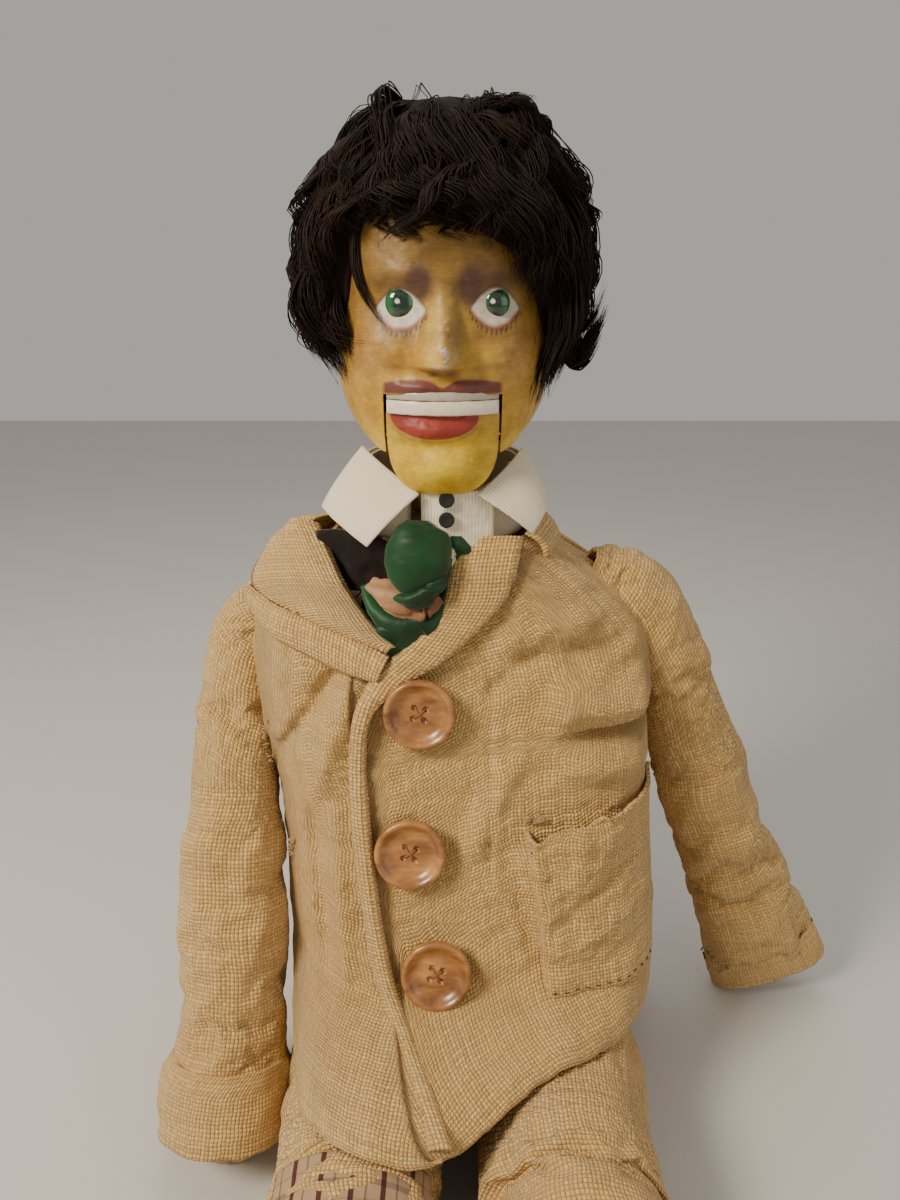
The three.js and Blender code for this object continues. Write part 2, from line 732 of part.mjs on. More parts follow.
function makeCoatButtons() {
  const places = { top: [-15.5, 296], middle: [-21, 212], bottom: [-5, 146] };
  const leanBack = 14; // degrees the buttons' faces tip up with the belly's slope
  const outward = degToRad(90 - leanBack);
  for (const [name, [x, z]] of Object.entries(places)) {
    const outline = [
      [0, 0],
      [BUTTON_R - 3, 0],
      [BUTTON_R, 2.5],
      [BUTTON_R - 1.5, 5.5],
      [BUTTON_R - 6, 3.6],
      [0, 3.2],
    ];
    const disc = lathe(outline, 20);
    const holes = [45, 135, 225, 315].map((angle) => {
      const hx = HOLE_CIRCLE_R * Math.cos(degToRad(angle));
      const hy = HOLE_CIRCLE_R * Math.sin(degToRad(angle));
      return rod(vec(hx, hy, -5), vec(hx, hy, 12), 1.7, 6);
    });
    const button = cut(disc, ...holes);
    button.rotateX(outward).translate(x, -coatFront(z) - (name === "top" ? 6 : 2), z);
    addPiece("coat_button_" + name, button, COLOURS.horn, 0.35);
  }
}

// ---- Arms ----
function tubeRing(centre, along, wide, thick, sideways, count = 16) {
  const across = sideways.clone().addScaledVector(along, -sideways.dot(along)).normalize();
  const up = along.clone().cross(across).normalize();
  return Array.from({ length: count }, (_, i) => {
    const angle = (i / count) * 2 * Math.PI;
    return centre
      .clone()
      .addScaledVector(across, wide * Math.cos(angle))
      .addScaledVector(up, thick * Math.sin(angle));
  });
}

// A tube of cloth from one point to another: stations are [distance, half width, half depth].
function clothTube(from, along, stations, sideways = X_AXIS) {
  return loft(
    stations.map(([distance, wide, thick]) =>
      tubeRing(from.clone().addScaledVector(along, distance), along, wide, thick, sideways),
    ),
  );
}

// Stations that round off a tube about its joint.
function ballEnd(radius, steps = 4) {
  return Array.from({ length: steps }, (_, i) => {
    const angle = -Math.PI / 2 + ((i + 0.35) / steps) * (Math.PI / 2);
    return [radius * Math.sin(angle), radius * Math.cos(angle), radius * Math.cos(angle)];
  });
}

function makeArm(side) {
  const shoulder = SHOULDERS[side];
  const cuff = CUFFS[side];
  const along = cuff.clone().sub(shoulder);
  const reach = along.length();
  along.normalize();
  const elbow = shoulder.clone().addScaledVector(along, reach * ELBOW_AT);
  const upper = reach * ELBOW_AT;
  const on = (distance) => shoulder.clone().addScaledVector(along, distance);
  const lower = reach - upper;
  const flat = side === "left"; // the left sleeve's end lies flat, with no turned-back cuff
  const { top, elbow: bend, cuff: end } = SLEEVE_R;
  addPiece(
    "sleeve_upper_" + side,
    cut(
      clothTube(shoulder, along, [
        ...ballEnd(top),
        [0, top, top],
        [upper * 0.5, bend - 1, bend - 1],
        [upper - bend * 1.4, bend, bend],
        [upper - bend * 1.2, bend * 0.7, bend * 0.7],
      ]),
      rod(on(-40), on(upper - 50), ARM_R + 0.5, 12),
    ),
    COLOURS.tweed,
  );
  addPiece("upper_arm_" + side, rod(on(-19), on(upper - 51), ARM_R, 12), COLOURS.wood);
  const wide = flat ? 47 : end;
  const thick = flat ? 19 : end;
  const handRoom = clothTube(elbow, along, [
    [lower - 52, flat ? 18 : 17, flat ? 11 : 17],
    [lower + 20, flat ? 30 : 27, flat ? 12 : 20],
  ]);
  addPiece(
    "sleeve_lower_" + side,
    cut(
      clothTube(elbow, along, [
        ...ballEnd(bend),
        [0, bend, bend],
        [lower * 0.5, bend + 3, flat ? bend - 4 : bend + 2],
        [lower - 42.5, flat ? 42 : 31, flat ? 21 : 31],
      ]),
      handRoom,
    ),
    COLOURS.tweed,
  );
  const cuffOuter = clothTube(elbow, along, [
    [lower - 42, wide - 2, thick - 2],
    [lower - 20, wide, thick],
    [lower - (flat ? 4 : 2), wide - 1, thick - 1],
  ]);
  addPiece("sleeve_cuff_" + side, cut(cuffOuter, handRoom), COLOURS.tweed);
  const shown = flat ? -10 : 12;
  addPiece(
    "hand_" + side,
    clothTube(elbow, along, [
      [lower - 51, 9, 8],
      [lower - 34, 11, 9],
      [lower - 22, 20, 10],
      [lower - 2 + Math.min(shown, 0), 21, 10],
      [lower + shown - 6, 15, 7],
      [lower + shown, 8, 3],
    ]),
    COLOURS.face,
    0.5,
  );
}

// ---- Legs ----
function makeLeg(side) {
  const { x, r } = LEGS[side];
  const along = vec(0, -1, 0);
  const hip = vec(x, HIP_Y, LEG_Z);
  const knee = vec(x, KNEE_Y, LEG_Z);
  const kneeR = r - 3;
  const thigh = HIP_Y - KNEE_Y;
  const shin = KNEE_Y - ANKLE_Y;
  addPiece(
    "trouser_thigh_" + side,
    clothTube(hip, along, [
      ...ballEnd(r),
      [0, r, r],
      [thigh * 0.4, r + 1, r - 1],
      [thigh - kneeR * 1.35, kneeR, kneeR],
      [thigh - kneeR * 1.14, kneeR * 0.76, kneeR * 0.76],
    ]),
    COLOURS.tweed,
  );
  const hem = clothTube(knee, along, [
    ...ballEnd(kneeR),
    [0, kneeR, kneeR],
    [shin * 0.5, kneeR - 3, kneeR - 3],
    [shin, kneeR - 4, kneeR - 4],
  ]);
  const onShin = (distance) => knee.clone().addScaledVector(along, distance);
  const sockRoom = rod(onShin(shin - 40), onShin(shin + 20), 27, 16);
  addPiece("trouser_shin_" + side, cut(hem, sockRoom), COLOURS.tweed);
  addPiece(
    "sock_" + side,
    rod(knee.clone().addScaledVector(along, shin - 39), vec(x, SOLE_Y + 52, LEG_Z), 20, 16),
    COLOURS.sock,
  );
  const shoeRings = [
    // distance from the sole, half width, bottom, top
    [8.5, 25, 1, SHOE_HEIGHT],
    [20, 26, 1, SHOE_HEIGHT - 2],
    [32, 24, 3, SHOE_HEIGHT - 12],
    [42, 22, 8, 88],
    [51, 20, 16, 80],
  ].map(([away, half, low, high]) => {
    const middle = (low + high) / 2;
    return roundedRing(half, middle - low, high - middle, 2.4, 20, (dx, dz) =>
      vec(x + dx, SOLE_Y + away, middle + dz),
    );
  });
  addPiece("shoe_" + side, loft(shoeRings), COLOURS.leather, 0.35);
  const soleRings = [0, 8].map((away) =>
    roundedRing(26.5, SHOE_HEIGHT / 2 - 0.5, SHOE_HEIGHT / 2 + 1, 2.4, 20, (dx, dz) =>
      vec(x + dx, SOLE_Y + away, SHOE_HEIGHT / 2 + 0.5 + dz),
    ),
  );
  addPiece("shoe_sole_" + side, loft(soleRings), 0x2a1c14, 0.6);
}

function makeSeat() {
  const middleX = (SEAT.left + SEAT.right) / 2;
  const middleY = (SEAT.front + SEAT.back) / 2;
  const halfX = (SEAT.right - SEAT.left) / 2;
  const halfY = (SEAT.back - SEAT.front) / 2;
  const heights = [[0, 4], [8, 0], [60, 0], [SEAT.top - 8, 2], [SEAT.top, 8]];
  const rings = heights.map(([z, inset]) =>
    roundedRing(halfX - inset, halfY - inset, halfY - inset, 3.4, 24, (x, y) =>
      vec(middleX + x, middleY + y, z),
    ),
  );
  addPiece("trouser_seat", loft(rings), COLOURS.tweed);
}

makeHeadShell();
makeEyes();
makeWig();
makeNeck();
makeJaw();
makeTeeth();
makeJawWorks();
makeBodyBox();
makeNeckCup();
makeShoulderEyes();
makeShirt();
makeCravat();
makeJacket();
makeCoatButtons();
makeSeat();
for (const side of ["right", "left"]) {
  makeArm(side);
  makeLeg(side);
}

export default dummy;
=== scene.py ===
"""Ventriloquist dummy: the visible model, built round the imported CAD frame. Metres, +Z up, facing -Y."""

import json
import math
import random

import bpy
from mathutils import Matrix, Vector, noise


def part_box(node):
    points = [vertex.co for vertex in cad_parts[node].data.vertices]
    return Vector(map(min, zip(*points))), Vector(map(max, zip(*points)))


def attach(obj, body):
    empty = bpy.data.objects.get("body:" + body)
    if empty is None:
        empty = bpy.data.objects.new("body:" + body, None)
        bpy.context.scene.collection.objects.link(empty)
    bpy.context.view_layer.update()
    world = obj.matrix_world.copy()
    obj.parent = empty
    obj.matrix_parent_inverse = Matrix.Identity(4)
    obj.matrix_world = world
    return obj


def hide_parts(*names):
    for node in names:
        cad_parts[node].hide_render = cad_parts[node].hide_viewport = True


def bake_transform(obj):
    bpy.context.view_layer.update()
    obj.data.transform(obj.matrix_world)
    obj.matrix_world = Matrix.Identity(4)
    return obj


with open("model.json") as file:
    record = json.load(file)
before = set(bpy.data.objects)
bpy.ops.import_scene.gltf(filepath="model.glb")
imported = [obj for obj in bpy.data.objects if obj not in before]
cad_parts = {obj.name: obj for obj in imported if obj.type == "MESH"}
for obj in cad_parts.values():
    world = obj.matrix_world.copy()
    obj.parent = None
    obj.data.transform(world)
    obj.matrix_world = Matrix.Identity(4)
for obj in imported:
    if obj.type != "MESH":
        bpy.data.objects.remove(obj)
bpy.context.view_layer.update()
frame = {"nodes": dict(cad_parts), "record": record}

MM = 0.001
SIDES = ("right", "left")
rng = random.Random(7)


# ---------------------------------------------------------------- numbers and curves
def lerp(a, b, t):
    return a + (b - a) * t


def clamp(value, low=0.0, high=1.0):
    return max(low, min(high, value))


def smooth(low, high, value):
    t = clamp((value - low) / (high - low))
    return t * t * (3 - 2 * t)


def bell(value, width):
    return math.exp(-((value / width) ** 2))


def profile(pairs):
    """A smooth curve through (position, value) pairs in rising order."""
    def read(at):
        i = 0
        while i + 2 < len(pairs) and at > pairs[i + 1][0]:
            i += 1
        (p1, v1), (p2, v2) = pairs[i], pairs[i + 1]
        before = pairs[i - 1] if i else (p1 - (p2 - p1), v1 - (v2 - v1))
        after = pairs[i + 2] if i + 2 < len(pairs) else (p2 + (p2 - p1), v2 + (v2 - v1))
        span = p2 - p1
        t = clamp((at - p1) / span)
        m1 = (v2 - before[1]) / (p2 - before[0]) * span
        m2 = (after[1] - v1) / (after[0] - p1) * span
        t2, t3 = t * t, t * t * t
        return ((2 * t3 - 3 * t2 + 1) * v1 + (t3 - 2 * t2 + t) * m1 + (3 * t2 - 2 * t3) * v2
                + (t3 - t2) * m2)
    return read


def rough(x, y, z, scale, octaves=3):
    """Fractal noise, about -1 to 1, at a feature size in millimetres."""
    return noise.fractal(Vector((x, y, z)) / scale, 0.6, 2.0, octaves)


# ---------------------------------------------------------------- meshes
def add_mesh(name, points, faces, smooth_faces=True):
    """A mesh object from points in millimetres."""
    mesh = bpy.data.meshes.new(name)
    mesh.from_pydata([(p[0] * MM, p[1] * MM, p[2] * MM) for p in points], [], faces)
    mesh.polygons.foreach_set("use_smooth", [smooth_faces] * len(mesh.polygons))
    mesh.update()
    obj = bpy.data.objects.new(name, mesh)
    bpy.context.scene.collection.objects.link(obj)
    return obj


def grid_faces(nu, nv, around=False, base=0):
    """Quads of a grid of (nu+1) by (nv+1) points, or nu by (nv+1) where it closes on itself."""
    rows = nu if around else nu + 1
    faces = []
    for i in range(nu):
        a = i * (nv + 1) + base
        b = ((i + 1) % rows) * (nv + 1) + base
        for j in range(nv):
            faces.append((a + j, b + j, b + j + 1, a + j + 1))
    return faces


def grid_points(surface, nu, nv, around=False):
    rows = nu if around else nu + 1
    return [surface(i / nu, j / nv) for i in range(rows) for j in range(nv + 1)]


def ring_mesh(name, surface, nu, nv, closed=False):
    """A tube from surface(u, v), with flat ends where it is closed."""
    faces = grid_faces(nu, nv, True)
    if closed:
        faces.append(tuple(k * (nv + 1) + nv for k in range(nu)))
        faces.append(tuple(reversed([k * (nv + 1) for k in range(nu)])))
    return add_mesh(name, grid_points(surface, nu, nv, True), faces)


def set_uv(obj, nu, nv):
    """UVs in metres, walked along a grid's own rows and columns so that a weave keeps its size."""
    layer = obj.data.uv_layers.new(name="cloth")
    places = [vertex.co for vertex in obj.data.vertices]
    rows = len(places) // (nv + 1)
    row = nv + 1
    across = [[0.0] * row for _ in range(nu + 1)]
    along = [[0.0] * row for _ in range(nu + 1)]
    for i in range(nu + 1):
        for j in range(row):
            here = places[(i % rows) * row + j]
            if i:
                across[i][j] = across[i - 1][j] + (here - places[(i - 1) * row + j]).length
            if j:
                along[i][j] = along[i][j - 1] + (here - places[(i % rows) * row + j - 1]).length
    for polygon in obj.data.polygons:
        i, j = divmod(polygon.index, nv)
        corners = ((i, j), (i + 1, j), (i + 1, j + 1), (i, j + 1))
        for loop, (ci, cj) in zip(polygon.loop_indices, corners):
            layer.data[loop].uv = (across[ci][cj] - across[nu // 2][cj], along[ci][cj])


def uv_from_place(obj, uv_at):
    """UVs in metres, worked out from where each point lies."""
    layer = obj.data.uv_layers.new(name="cloth")
    for loop in obj.data.loops:
        layer.data[loop.index].uv = uv_at(obj.data.vertices[loop.vertex_index].co)


def paint(obj, colour_at):
    """A colour for each vertex, worked out from its place in millimetres."""
    layer = obj.data.color_attributes.new("paint", "FLOAT_COLOR", "POINT")
    for vertex, colour in zip(obj.data.vertices, layer.data):
        x, y, z = vertex.co / MM
        colour.color = (*colour_at(x, y, z), 1.0)


def thicken(obj, millimetres, offset=-1.0):
    modifier = obj.modifiers.new("thickness", "SOLIDIFY")
    modifier.thickness = millimetres * MM
    modifier.offset = offset
    return modifier


def settle(obj):
    """Applies the object's modifiers."""
    bpy.context.view_layer.update()
    graph = bpy.context.evaluated_depsgraph_get()
    mesh = bpy.data.meshes.new_from_object(obj.evaluated_get(graph), depsgraph=graph)
    obj.modifiers.clear()
    obj.data = mesh
    return obj


def cut_with(obj, cutter):
    modifier = obj.modifiers.new("cut", "BOOLEAN")
    modifier.object = cutter
    modifier.solver = "EXACT"
    settle(obj)
    bpy.data.objects.remove(cutter)
    return obj


def block(low, high):
    """A plain box used only to cut with, in millimetres."""
    xs, ys, zs = zip(low, high)
    points = [(x, y, z) for x in xs for y in ys for z in zs]
    faces = [(0, 1, 3, 2), (4, 6, 7, 5), (0, 4, 5, 1), (2, 3, 7, 6), (0, 2, 6, 4), (1, 5, 7, 3)]
    return add_mesh("cutter", points, faces, False)


def tube(name, path, radii, sides):
    """A tube along points in millimetres; radii is one number per point."""
    points, faces = tube_parts(path, radii, sides)
    last = (len(path) - 1) * sides
    faces.append(tuple(reversed(range(sides))))
    faces.append(tuple(range(last, last + sides)))
    return add_mesh(name, points, faces)


def tube_parts(path, radii, sides, base=0):
    """Points and faces of an open tube, its faces numbered from base."""
    points, faces = [], []
    side = Vector((1, 0, 0))
    for i, here in enumerate(path):
        along = (Vector(path[min(i + 1, len(path) - 1)]) - Vector(path[max(i - 1, 0)])).normalized()
        side = side - along * side.dot(along)
        if side.length < 1e-3:
            side = along.orthogonal()
        side.normalize()
        up = along.cross(side)
        for k in range(sides):
            angle = 2 * math.pi * k / sides
            points.append(Vector(here) + radii[i] * (math.cos(angle) * side + math.sin(angle) * up))
    for i in range(len(path) - 1):
        for k in range(sides):
            a = base + i * sides + k
            b = base + i * sides + (k + 1) % sides
            faces.append((a, b, b + sides, a + sides))
    return points, faces


def tipped(x, out, z, tilt):
    """A place on a disc that faces -Y and is tipped back to face up by the given angle."""
    return Vector((x, -out * math.cos(tilt) + z * math.sin(tilt),
                   out * math.sin(tilt) + z * math.cos(tilt)))


def lathe(name, outline, segments, centre, tilt=0.0):
    """A turned piece facing -Y: outline is (radius, distance out) pairs in millimetres."""
    points, faces = [], []
    for k in range(segments):
        angle = 2 * math.pi * k / segments
        for radius, out in outline:
            points.append(Vector(centre)
                          + tipped(radius * math.cos(angle), out, radius * math.sin(angle), tilt))
    rings = len(outline)
    for k in range(segments):
        a, b = k * rings, ((k + 1) % segments) * rings
        for j in range(rings - 1):
            faces.append((a + j, a + j + 1, b + j + 1, b + j))
    obj = add_mesh(name, points, faces)
    weld = obj.modifiers.new("weld", "WELD")
    weld.merge_threshold = 1e-5
    return settle(obj)


# ---------------------------------------------------------------- materials
class Nodes:
    """Short calls for a material's node tree."""

    def __init__(self, name, roughness=0.6, **shader):
        self.material = bpy.data.materials.new(name)
        self.material.use_nodes = True
        self.tree = self.material.node_tree
        self.shader = self.tree.nodes["Principled BSDF"]
        self.shader.inputs["Roughness"].default_value = roughness
        for socket, value in shader.items():
            self.shader.inputs[socket.replace("_", " ")].default_value = value

    def add(self, kind, **settings):
        node = self.tree.nodes.new(kind)
        for key, value in settings.items():
            setattr(node, key, value)
        return node

    def link(self, source, target):
        self.tree.links.new(source, target)

    def put(self, socket, value):
        if hasattr(value, "links"):
            self.link(value, socket)
        else:
            socket.default_value = value

    def math(self, operation, a, b=0.0, c=0.0):
        node = self.add("ShaderNodeMath", operation=operation)
        for socket, value in zip(node.inputs, (a, b, c)):
            self.put(socket, value)
        return node.outputs[0]

    def noise(self, vector, scale, detail=3.0, roughness=0.55):
        node = self.add("ShaderNodeTexNoise")
        self.put(node.inputs["Vector"], vector)
        node.inputs["Scale"].default_value = scale
        node.inputs["Detail"].default_value = detail
        node.inputs["Roughness"].default_value = roughness
        return node.outputs["Fac"]

    def ramp(self, factor, *stops):
        node = self.add("ShaderNodeValToRGB")
        self.put(node.inputs["Fac"], factor)
        elements = node.color_ramp.elements
        while len(elements) < len(stops):
            elements.new(0.5)
        for element, (position, colour) in zip(elements, stops):
            element.position = position
            element.color = (*colour, 1.0) if len(colour) == 3 else colour
        return node.outputs["Color"]

    def fade(self, factor, low, high, most=1.0):
        """A ramp from black at low to a grey of the given strength at high."""
        return self.ramp(factor, (low, (0, 0, 0)), (high, (most, most, most)))

    def mix(self, factor, a, b, blend="MIX"):
        node = self.add("ShaderNodeMix", data_type="RGBA", blend_type=blend)
        self.put(node.inputs["Factor"], factor)
        for socket, value in zip((node.inputs[6], node.inputs[7]), (a, b)):
            if not hasattr(value, "links") and len(value) == 3:
                value = (*value, 1.0)
            self.put(socket, value)
        return node.outputs[2]

    def mapped(self, vector, scale):
        node = self.add("ShaderNodeMapping")
        self.link(vector, node.inputs["Vector"])
        node.inputs["Scale"].default_value = scale
        return node.outputs["Vector"]

    def place(self):
        return self.add("ShaderNodeTexCoord").outputs["Object"]

    def uv(self):
        return self.add("ShaderNodeTexCoord").outputs["UV"]

    def bump(self, height, strength, distance):
        node = self.add("ShaderNodeBump")
        node.inputs["Strength"].default_value = strength
        node.inputs["Distance"].default_value = distance
        self.link(height, node.inputs["Height"])
        self.link(node.outputs["Normal"], self.shader.inputs["Normal"])

    def colour(self, value):
        self.put(self.shader.inputs["Base Color"], value)

    def rough_from(self, value):
        self.link(value, self.shader.inputs["Roughness"])


def weave(nodes, pitch):
    """Height and yarn variation of a plain weave, from UVs in metres."""
    uv = nodes.uv()
    wander = nodes.add("ShaderNodeTexNoise")
    nodes.link(uv, wander.inputs["Vector"])
    wander.inputs["Scale"].default_value = 90.0
    shift = nodes.add("ShaderNodeVectorMath", operation="MULTIPLY_ADD")
    nodes.link(wander.outputs["Color"], shift.inputs[0])
    shift.inputs[1].default_value = (pitch * 0.5, pitch * 0.5, 0)
    nodes.link(uv, shift.inputs[2])
    axes = nodes.add("ShaderNodeSeparateXYZ")
    nodes.link(shift.outputs[0], axes.inputs[0])
    heights, yarns, cells = [], [], []
    for axis in ("X", "Y"):
        count = nodes.math("DIVIDE", axes.outputs[axis], pitch)
        whole = nodes.math("FLOOR", count)
        part = nodes.math("FRACT", count)
        heights.append(nodes.math("SINE", nodes.math("MULTIPLY", part, math.pi)))
        random_yarn = nodes.add("ShaderNodeTexWhiteNoise", noise_dimensions="1D")
        nodes.link(whole, random_yarn.inputs["W"])
        yarns.append(random_yarn.outputs["Value"])
        cells.append(whole)
    parity = nodes.math("PINGPONG", nodes.math("ADD", *cells), 1.0)
    lobe = nodes.math("MULTIPLY", *heights)
    height = nodes.math("POWER", lobe, 0.55)
    over = nodes.add("ShaderNodeMix", data_type="FLOAT")
    nodes.link(parity, over.inputs["Factor"])
    nodes.link(yarns[0], over.inputs[2])
    nodes.link(yarns[1], over.inputs[3])
    lifted = nodes.math("MULTIPLY_ADD", over.outputs[0], 0.45, height)
    return lifted, over.outputs[0], height


def tweed_material():
    nodes = Nodes("tweed", 0.92, Sheen_Weight=0.25, Sheen_Roughness=0.6)
    height, yarn, lobe = weave(nodes, 0.0024)
    fibre = nodes.noise(nodes.uv(), 900.0, 2.0, 0.7)
    patch = nodes.noise(nodes.place(), 9.0, 4.0, 0.6)
    stain = nodes.noise(nodes.place(), 26.0, 3.0, 0.6)
    light = (0.80, 0.475, 0.125)
    pale = (0.92, 0.62, 0.21)
    dark = (0.62, 0.34, 0.080)
    gap = (0.36, 0.185, 0.042)
    slub = nodes.noise(nodes.uv(), 260.0, 3.0, 0.7)
    broken = nodes.math("MULTIPLY_ADD", slub, 0.8, lobe)
    yarn_colour = nodes.ramp(yarn, (0.0, dark), (0.5, light), (1.0, pale))
    body = nodes.mix(nodes.fade(broken, 0.42, 0.90), gap, yarn_colour)
    worn = nodes.mix(nodes.fade(patch, 0.42, 0.70, 0.5), body, (0.62, 0.34, 0.085))
    flecked = nodes.mix(nodes.fade(fibre, 0.35, 0.8, 0.5), worn, pale)
    nodes.colour(nodes.mix(nodes.fade(stain, 0.58, 0.8, 0.45), flecked, (0.36, 0.2, 0.07)))
    fuzzy = nodes.math("MULTIPLY_ADD", slub, 1.1, nodes.math("MULTIPLY_ADD", fibre, 0.6, height))
    nodes.bump(fuzzy, 1.0, 0.0013)
    return nodes.material


def painted_material():
    """Old oil paint under yellowed varnish: the colours come from the mesh, the wear from noise."""
    nodes = Nodes("painted_head", 0.5, Specular_IOR_Level=0.35, Coat_Weight=0.08, Coat_Roughness=0.32)
    base = nodes.add("ShaderNodeVertexColor", layer_name="paint").outputs["Color"]
    place = nodes.place()
    mottle = nodes.noise(place, 70.0, 5.0, 0.65)
    brushed = nodes.noise(nodes.mapped(place, (60, 60, 340)), 3.0, 4.0, 0.6)
    grime = nodes.noise(place, 22.0, 4.0, 0.7)
    warm = nodes.mix(nodes.fade(mottle, 0.40, 0.68, 0.5), base, (0.36, 0.19, 0.06), "MULTIPLY")
    streaked = nodes.mix(nodes.fade(brushed, 0.45, 0.75, 0.35), warm, (0.95, 0.9, 0.8), "OVERLAY")
    nodes.colour(nodes.mix(nodes.fade(grime, 0.52, 0.78, 0.5), streaked, (0.45, 0.3, 0.16), "MULTIPLY"))
    nodes.rough_from(nodes.ramp(mottle, (0.3, (0.40, 0.40, 0.40)), (0.8, (0.62, 0.62, 0.62))))
    nodes.bump(nodes.math("MULTIPLY_ADD", brushed, 0.6, mottle), 0.25, 0.0006)
    return nodes.material


def hair_material():
    nodes = Nodes("wig_hair", 0.72, Specular_IOR_Level=0.18)
    strands = nodes.noise(nodes.mapped(nodes.uv(), (1500, 18, 1)), 1.0, 3.0, 0.6)
    shade = nodes.noise(nodes.place(), 40.0, 3.0)
    dark = nodes.ramp(strands, (0.3, (0.006, 0.0032, 0.0022)), (0.72, (0.030, 0.014, 0.009)))
    nodes.colour(nodes.mix(nodes.fade(shade, 0.5, 0.8, 0.4), dark, (0.034, 0.015, 0.009)))
    nodes.bump(strands, 0.8, 0.0008)
    return nodes.material


def eye_material():
    nodes = Nodes("glass_eye", 0.06, Coat_Weight=1.0, Coat_Roughness=0.02, IOR=1.5)
    base = nodes.add("ShaderNodeVertexColor", layer_name="paint").outputs["Color"]
    streak = nodes.noise(nodes.place(), 700.0, 3.0)
    nodes.colour(nodes.mix(nodes.fade(streak, 0.4, 0.8, 0.3), base, (0.02, 0.2, 0.06)))
    return nodes.material


def enamel_material(name="tooth_paint", tint=1.0):
    nodes = Nodes(name, 0.25, Coat_Weight=0.4)
    place = nodes.place()
    crazing = nodes.noise(place, 220.0, 4.0, 0.7)
    stained, clean, bright = ([c * tint for c in colour]
                              for colour in ((0.60, 0.46, 0.30), (0.82, 0.72, 0.56), (0.90, 0.82, 0.68)))
    nodes.colour(nodes.ramp(crazing, (0.25, stained), (0.42, clean), (1.0, bright)))
    nodes.bump(crazing, 0.25, 0.0005)
    return nodes.material


def horn_material():
    nodes = Nodes("horn", 0.3, Coat_Weight=0.35, Coat_Roughness=0.15)
    place = nodes.place()
    swirl = nodes.noise(nodes.mapped(place, (30, 30, 75)), 1.6, 5.0, 0.6)
    fine = nodes.noise(nodes.mapped(place, (120, 120, 500)), 1.5, 3.0)
    horn = nodes.ramp(swirl, (0.28, (0.19, 0.070, 0.020)), (0.5, (0.40, 0.175, 0.050)),
                      (0.72, (0.62, 0.31, 0.10)))
    nodes.colour(nodes.mix(nodes.fade(fine, 0.45, 0.8, 0.35), horn, (0.20, 0.08, 0.025)))
    nodes.bump(fine, 0.15, 0.0004)
    return nodes.material


def shirt_material():
    """Cream cotton with a fine woven stripe along the UV's V."""
    nodes = Nodes("shirt_cotton", 0.85, Sheen_Weight=0.1)
    axes = nodes.add("ShaderNodeSeparateXYZ")
    nodes.link(nodes.uv(), axes.inputs[0])
    part = nodes.math("FRACT", nodes.math("DIVIDE", axes.outputs["X"], 0.0021))
    stripe = nodes.ramp(part, (0.0, (0.52, 0.46, 0.37)), (0.14, (0.52, 0.46, 0.37)),
                        (0.2, (0.88, 0.78, 0.58)), (0.92, (0.88, 0.78, 0.58)))
    soil = nodes.noise(nodes.place(), 35.0, 4.0)
    nodes.colour(nodes.mix(nodes.fade(soil, 0.5, 0.8, 0.5), stripe, (0.66, 0.54, 0.38)))
    nodes.bump(nodes.noise(nodes.uv(), 2600.0, 2.0), 0.3, 0.0003)
    return nodes.material


def silk_material(name, deep, bright, roughness=0.5):
    nodes = Nodes(name, roughness, Specular_IOR_Level=0.3, Sheen_Weight=0.3, Sheen_Roughness=0.4)
    crease = nodes.noise(nodes.place(), 28.0, 2.0)
    thread = nodes.noise(nodes.mapped(nodes.uv(), (4000, 300, 1)), 1.0, 2.0)
    nodes.colour(nodes.ramp(crease, (0.35, deep), (0.7, bright)))
    nodes.bump(thread, 0.2, 0.0002)
    return nodes.material


def plaid_material():
    nodes = Nodes("plaid_lining", 0.9)
    axes = nodes.add("ShaderNodeSeparateXYZ")
    nodes.link(nodes.uv(), axes.inputs[0])
    bands = []
    for axis, period in (("X", 0.017), ("Y", 0.019)):
        part = nodes.math("FRACT", nodes.math("DIVIDE", axes.outputs[axis], period))
        bands.append(nodes.ramp(part, (0.0, (0, 0, 0)), (0.16, (0, 0, 0)), (0.18, (1, 1, 1)),
                                (0.50, (1, 1, 1)), (0.52, (0.2, 0.2, 0.2)), (0.6, (1, 1, 1))))
    across = nodes.mix(bands[0], (0.11, 0.035, 0.03), (0.55, 0.42, 0.27))
    nodes.colour(nodes.mix(0.65, across, nodes.mix(bands[1], (0.16, 0.06, 0.045), (0.62, 0.48, 0.32)),
                           "MULTIPLY"))
    nodes.bump(nodes.noise(nodes.uv(), 1800.0, 2.0), 0.5, 0.0004)
    return nodes.material


def grained_wood(name, dark, light, roughness=0.55):
    nodes = Nodes(name, roughness)
    grain = nodes.noise(nodes.mapped(nodes.place(), (180, 180, 14)), 1.0, 4.0, 0.6)
    nodes.colour(nodes.ramp(grain, (0.3, dark), (0.7, light)))
    nodes.bump(grain, 0.3, 0.0004)
    return nodes.material


def leather_material(name, dark, light, roughness):
    nodes = Nodes(name, roughness, Coat_Weight=0.2, Coat_Roughness=0.3)
    cells = nodes.add("ShaderNodeTexVoronoi", feature="DISTANCE_TO_EDGE")
    nodes.link(nodes.place(), cells.inputs["Vector"])
    cells.inputs["Scale"].default_value = 620.0
    scuff = nodes.noise(nodes.place(), 45.0, 5.0, 0.7)
    nodes.colour(nodes.ramp(scuff, (0.35, dark), (0.75, light)))
    nodes.bump(cells.outputs["Distance"], 0.4, 0.0004)
    return nodes.material


def metal_material():
    nodes = Nodes("steel", 0.35, Metallic=1.0)
    rust = nodes.noise(nodes.place(), 160.0, 4.0, 0.7)
    nodes.colour(nodes.ramp(rust, (0.45, (0.5, 0.5, 0.49)), (0.75, (0.28, 0.16, 0.09))))
    nodes.bump(rust, 0.15, 0.0003)
    return nodes.material


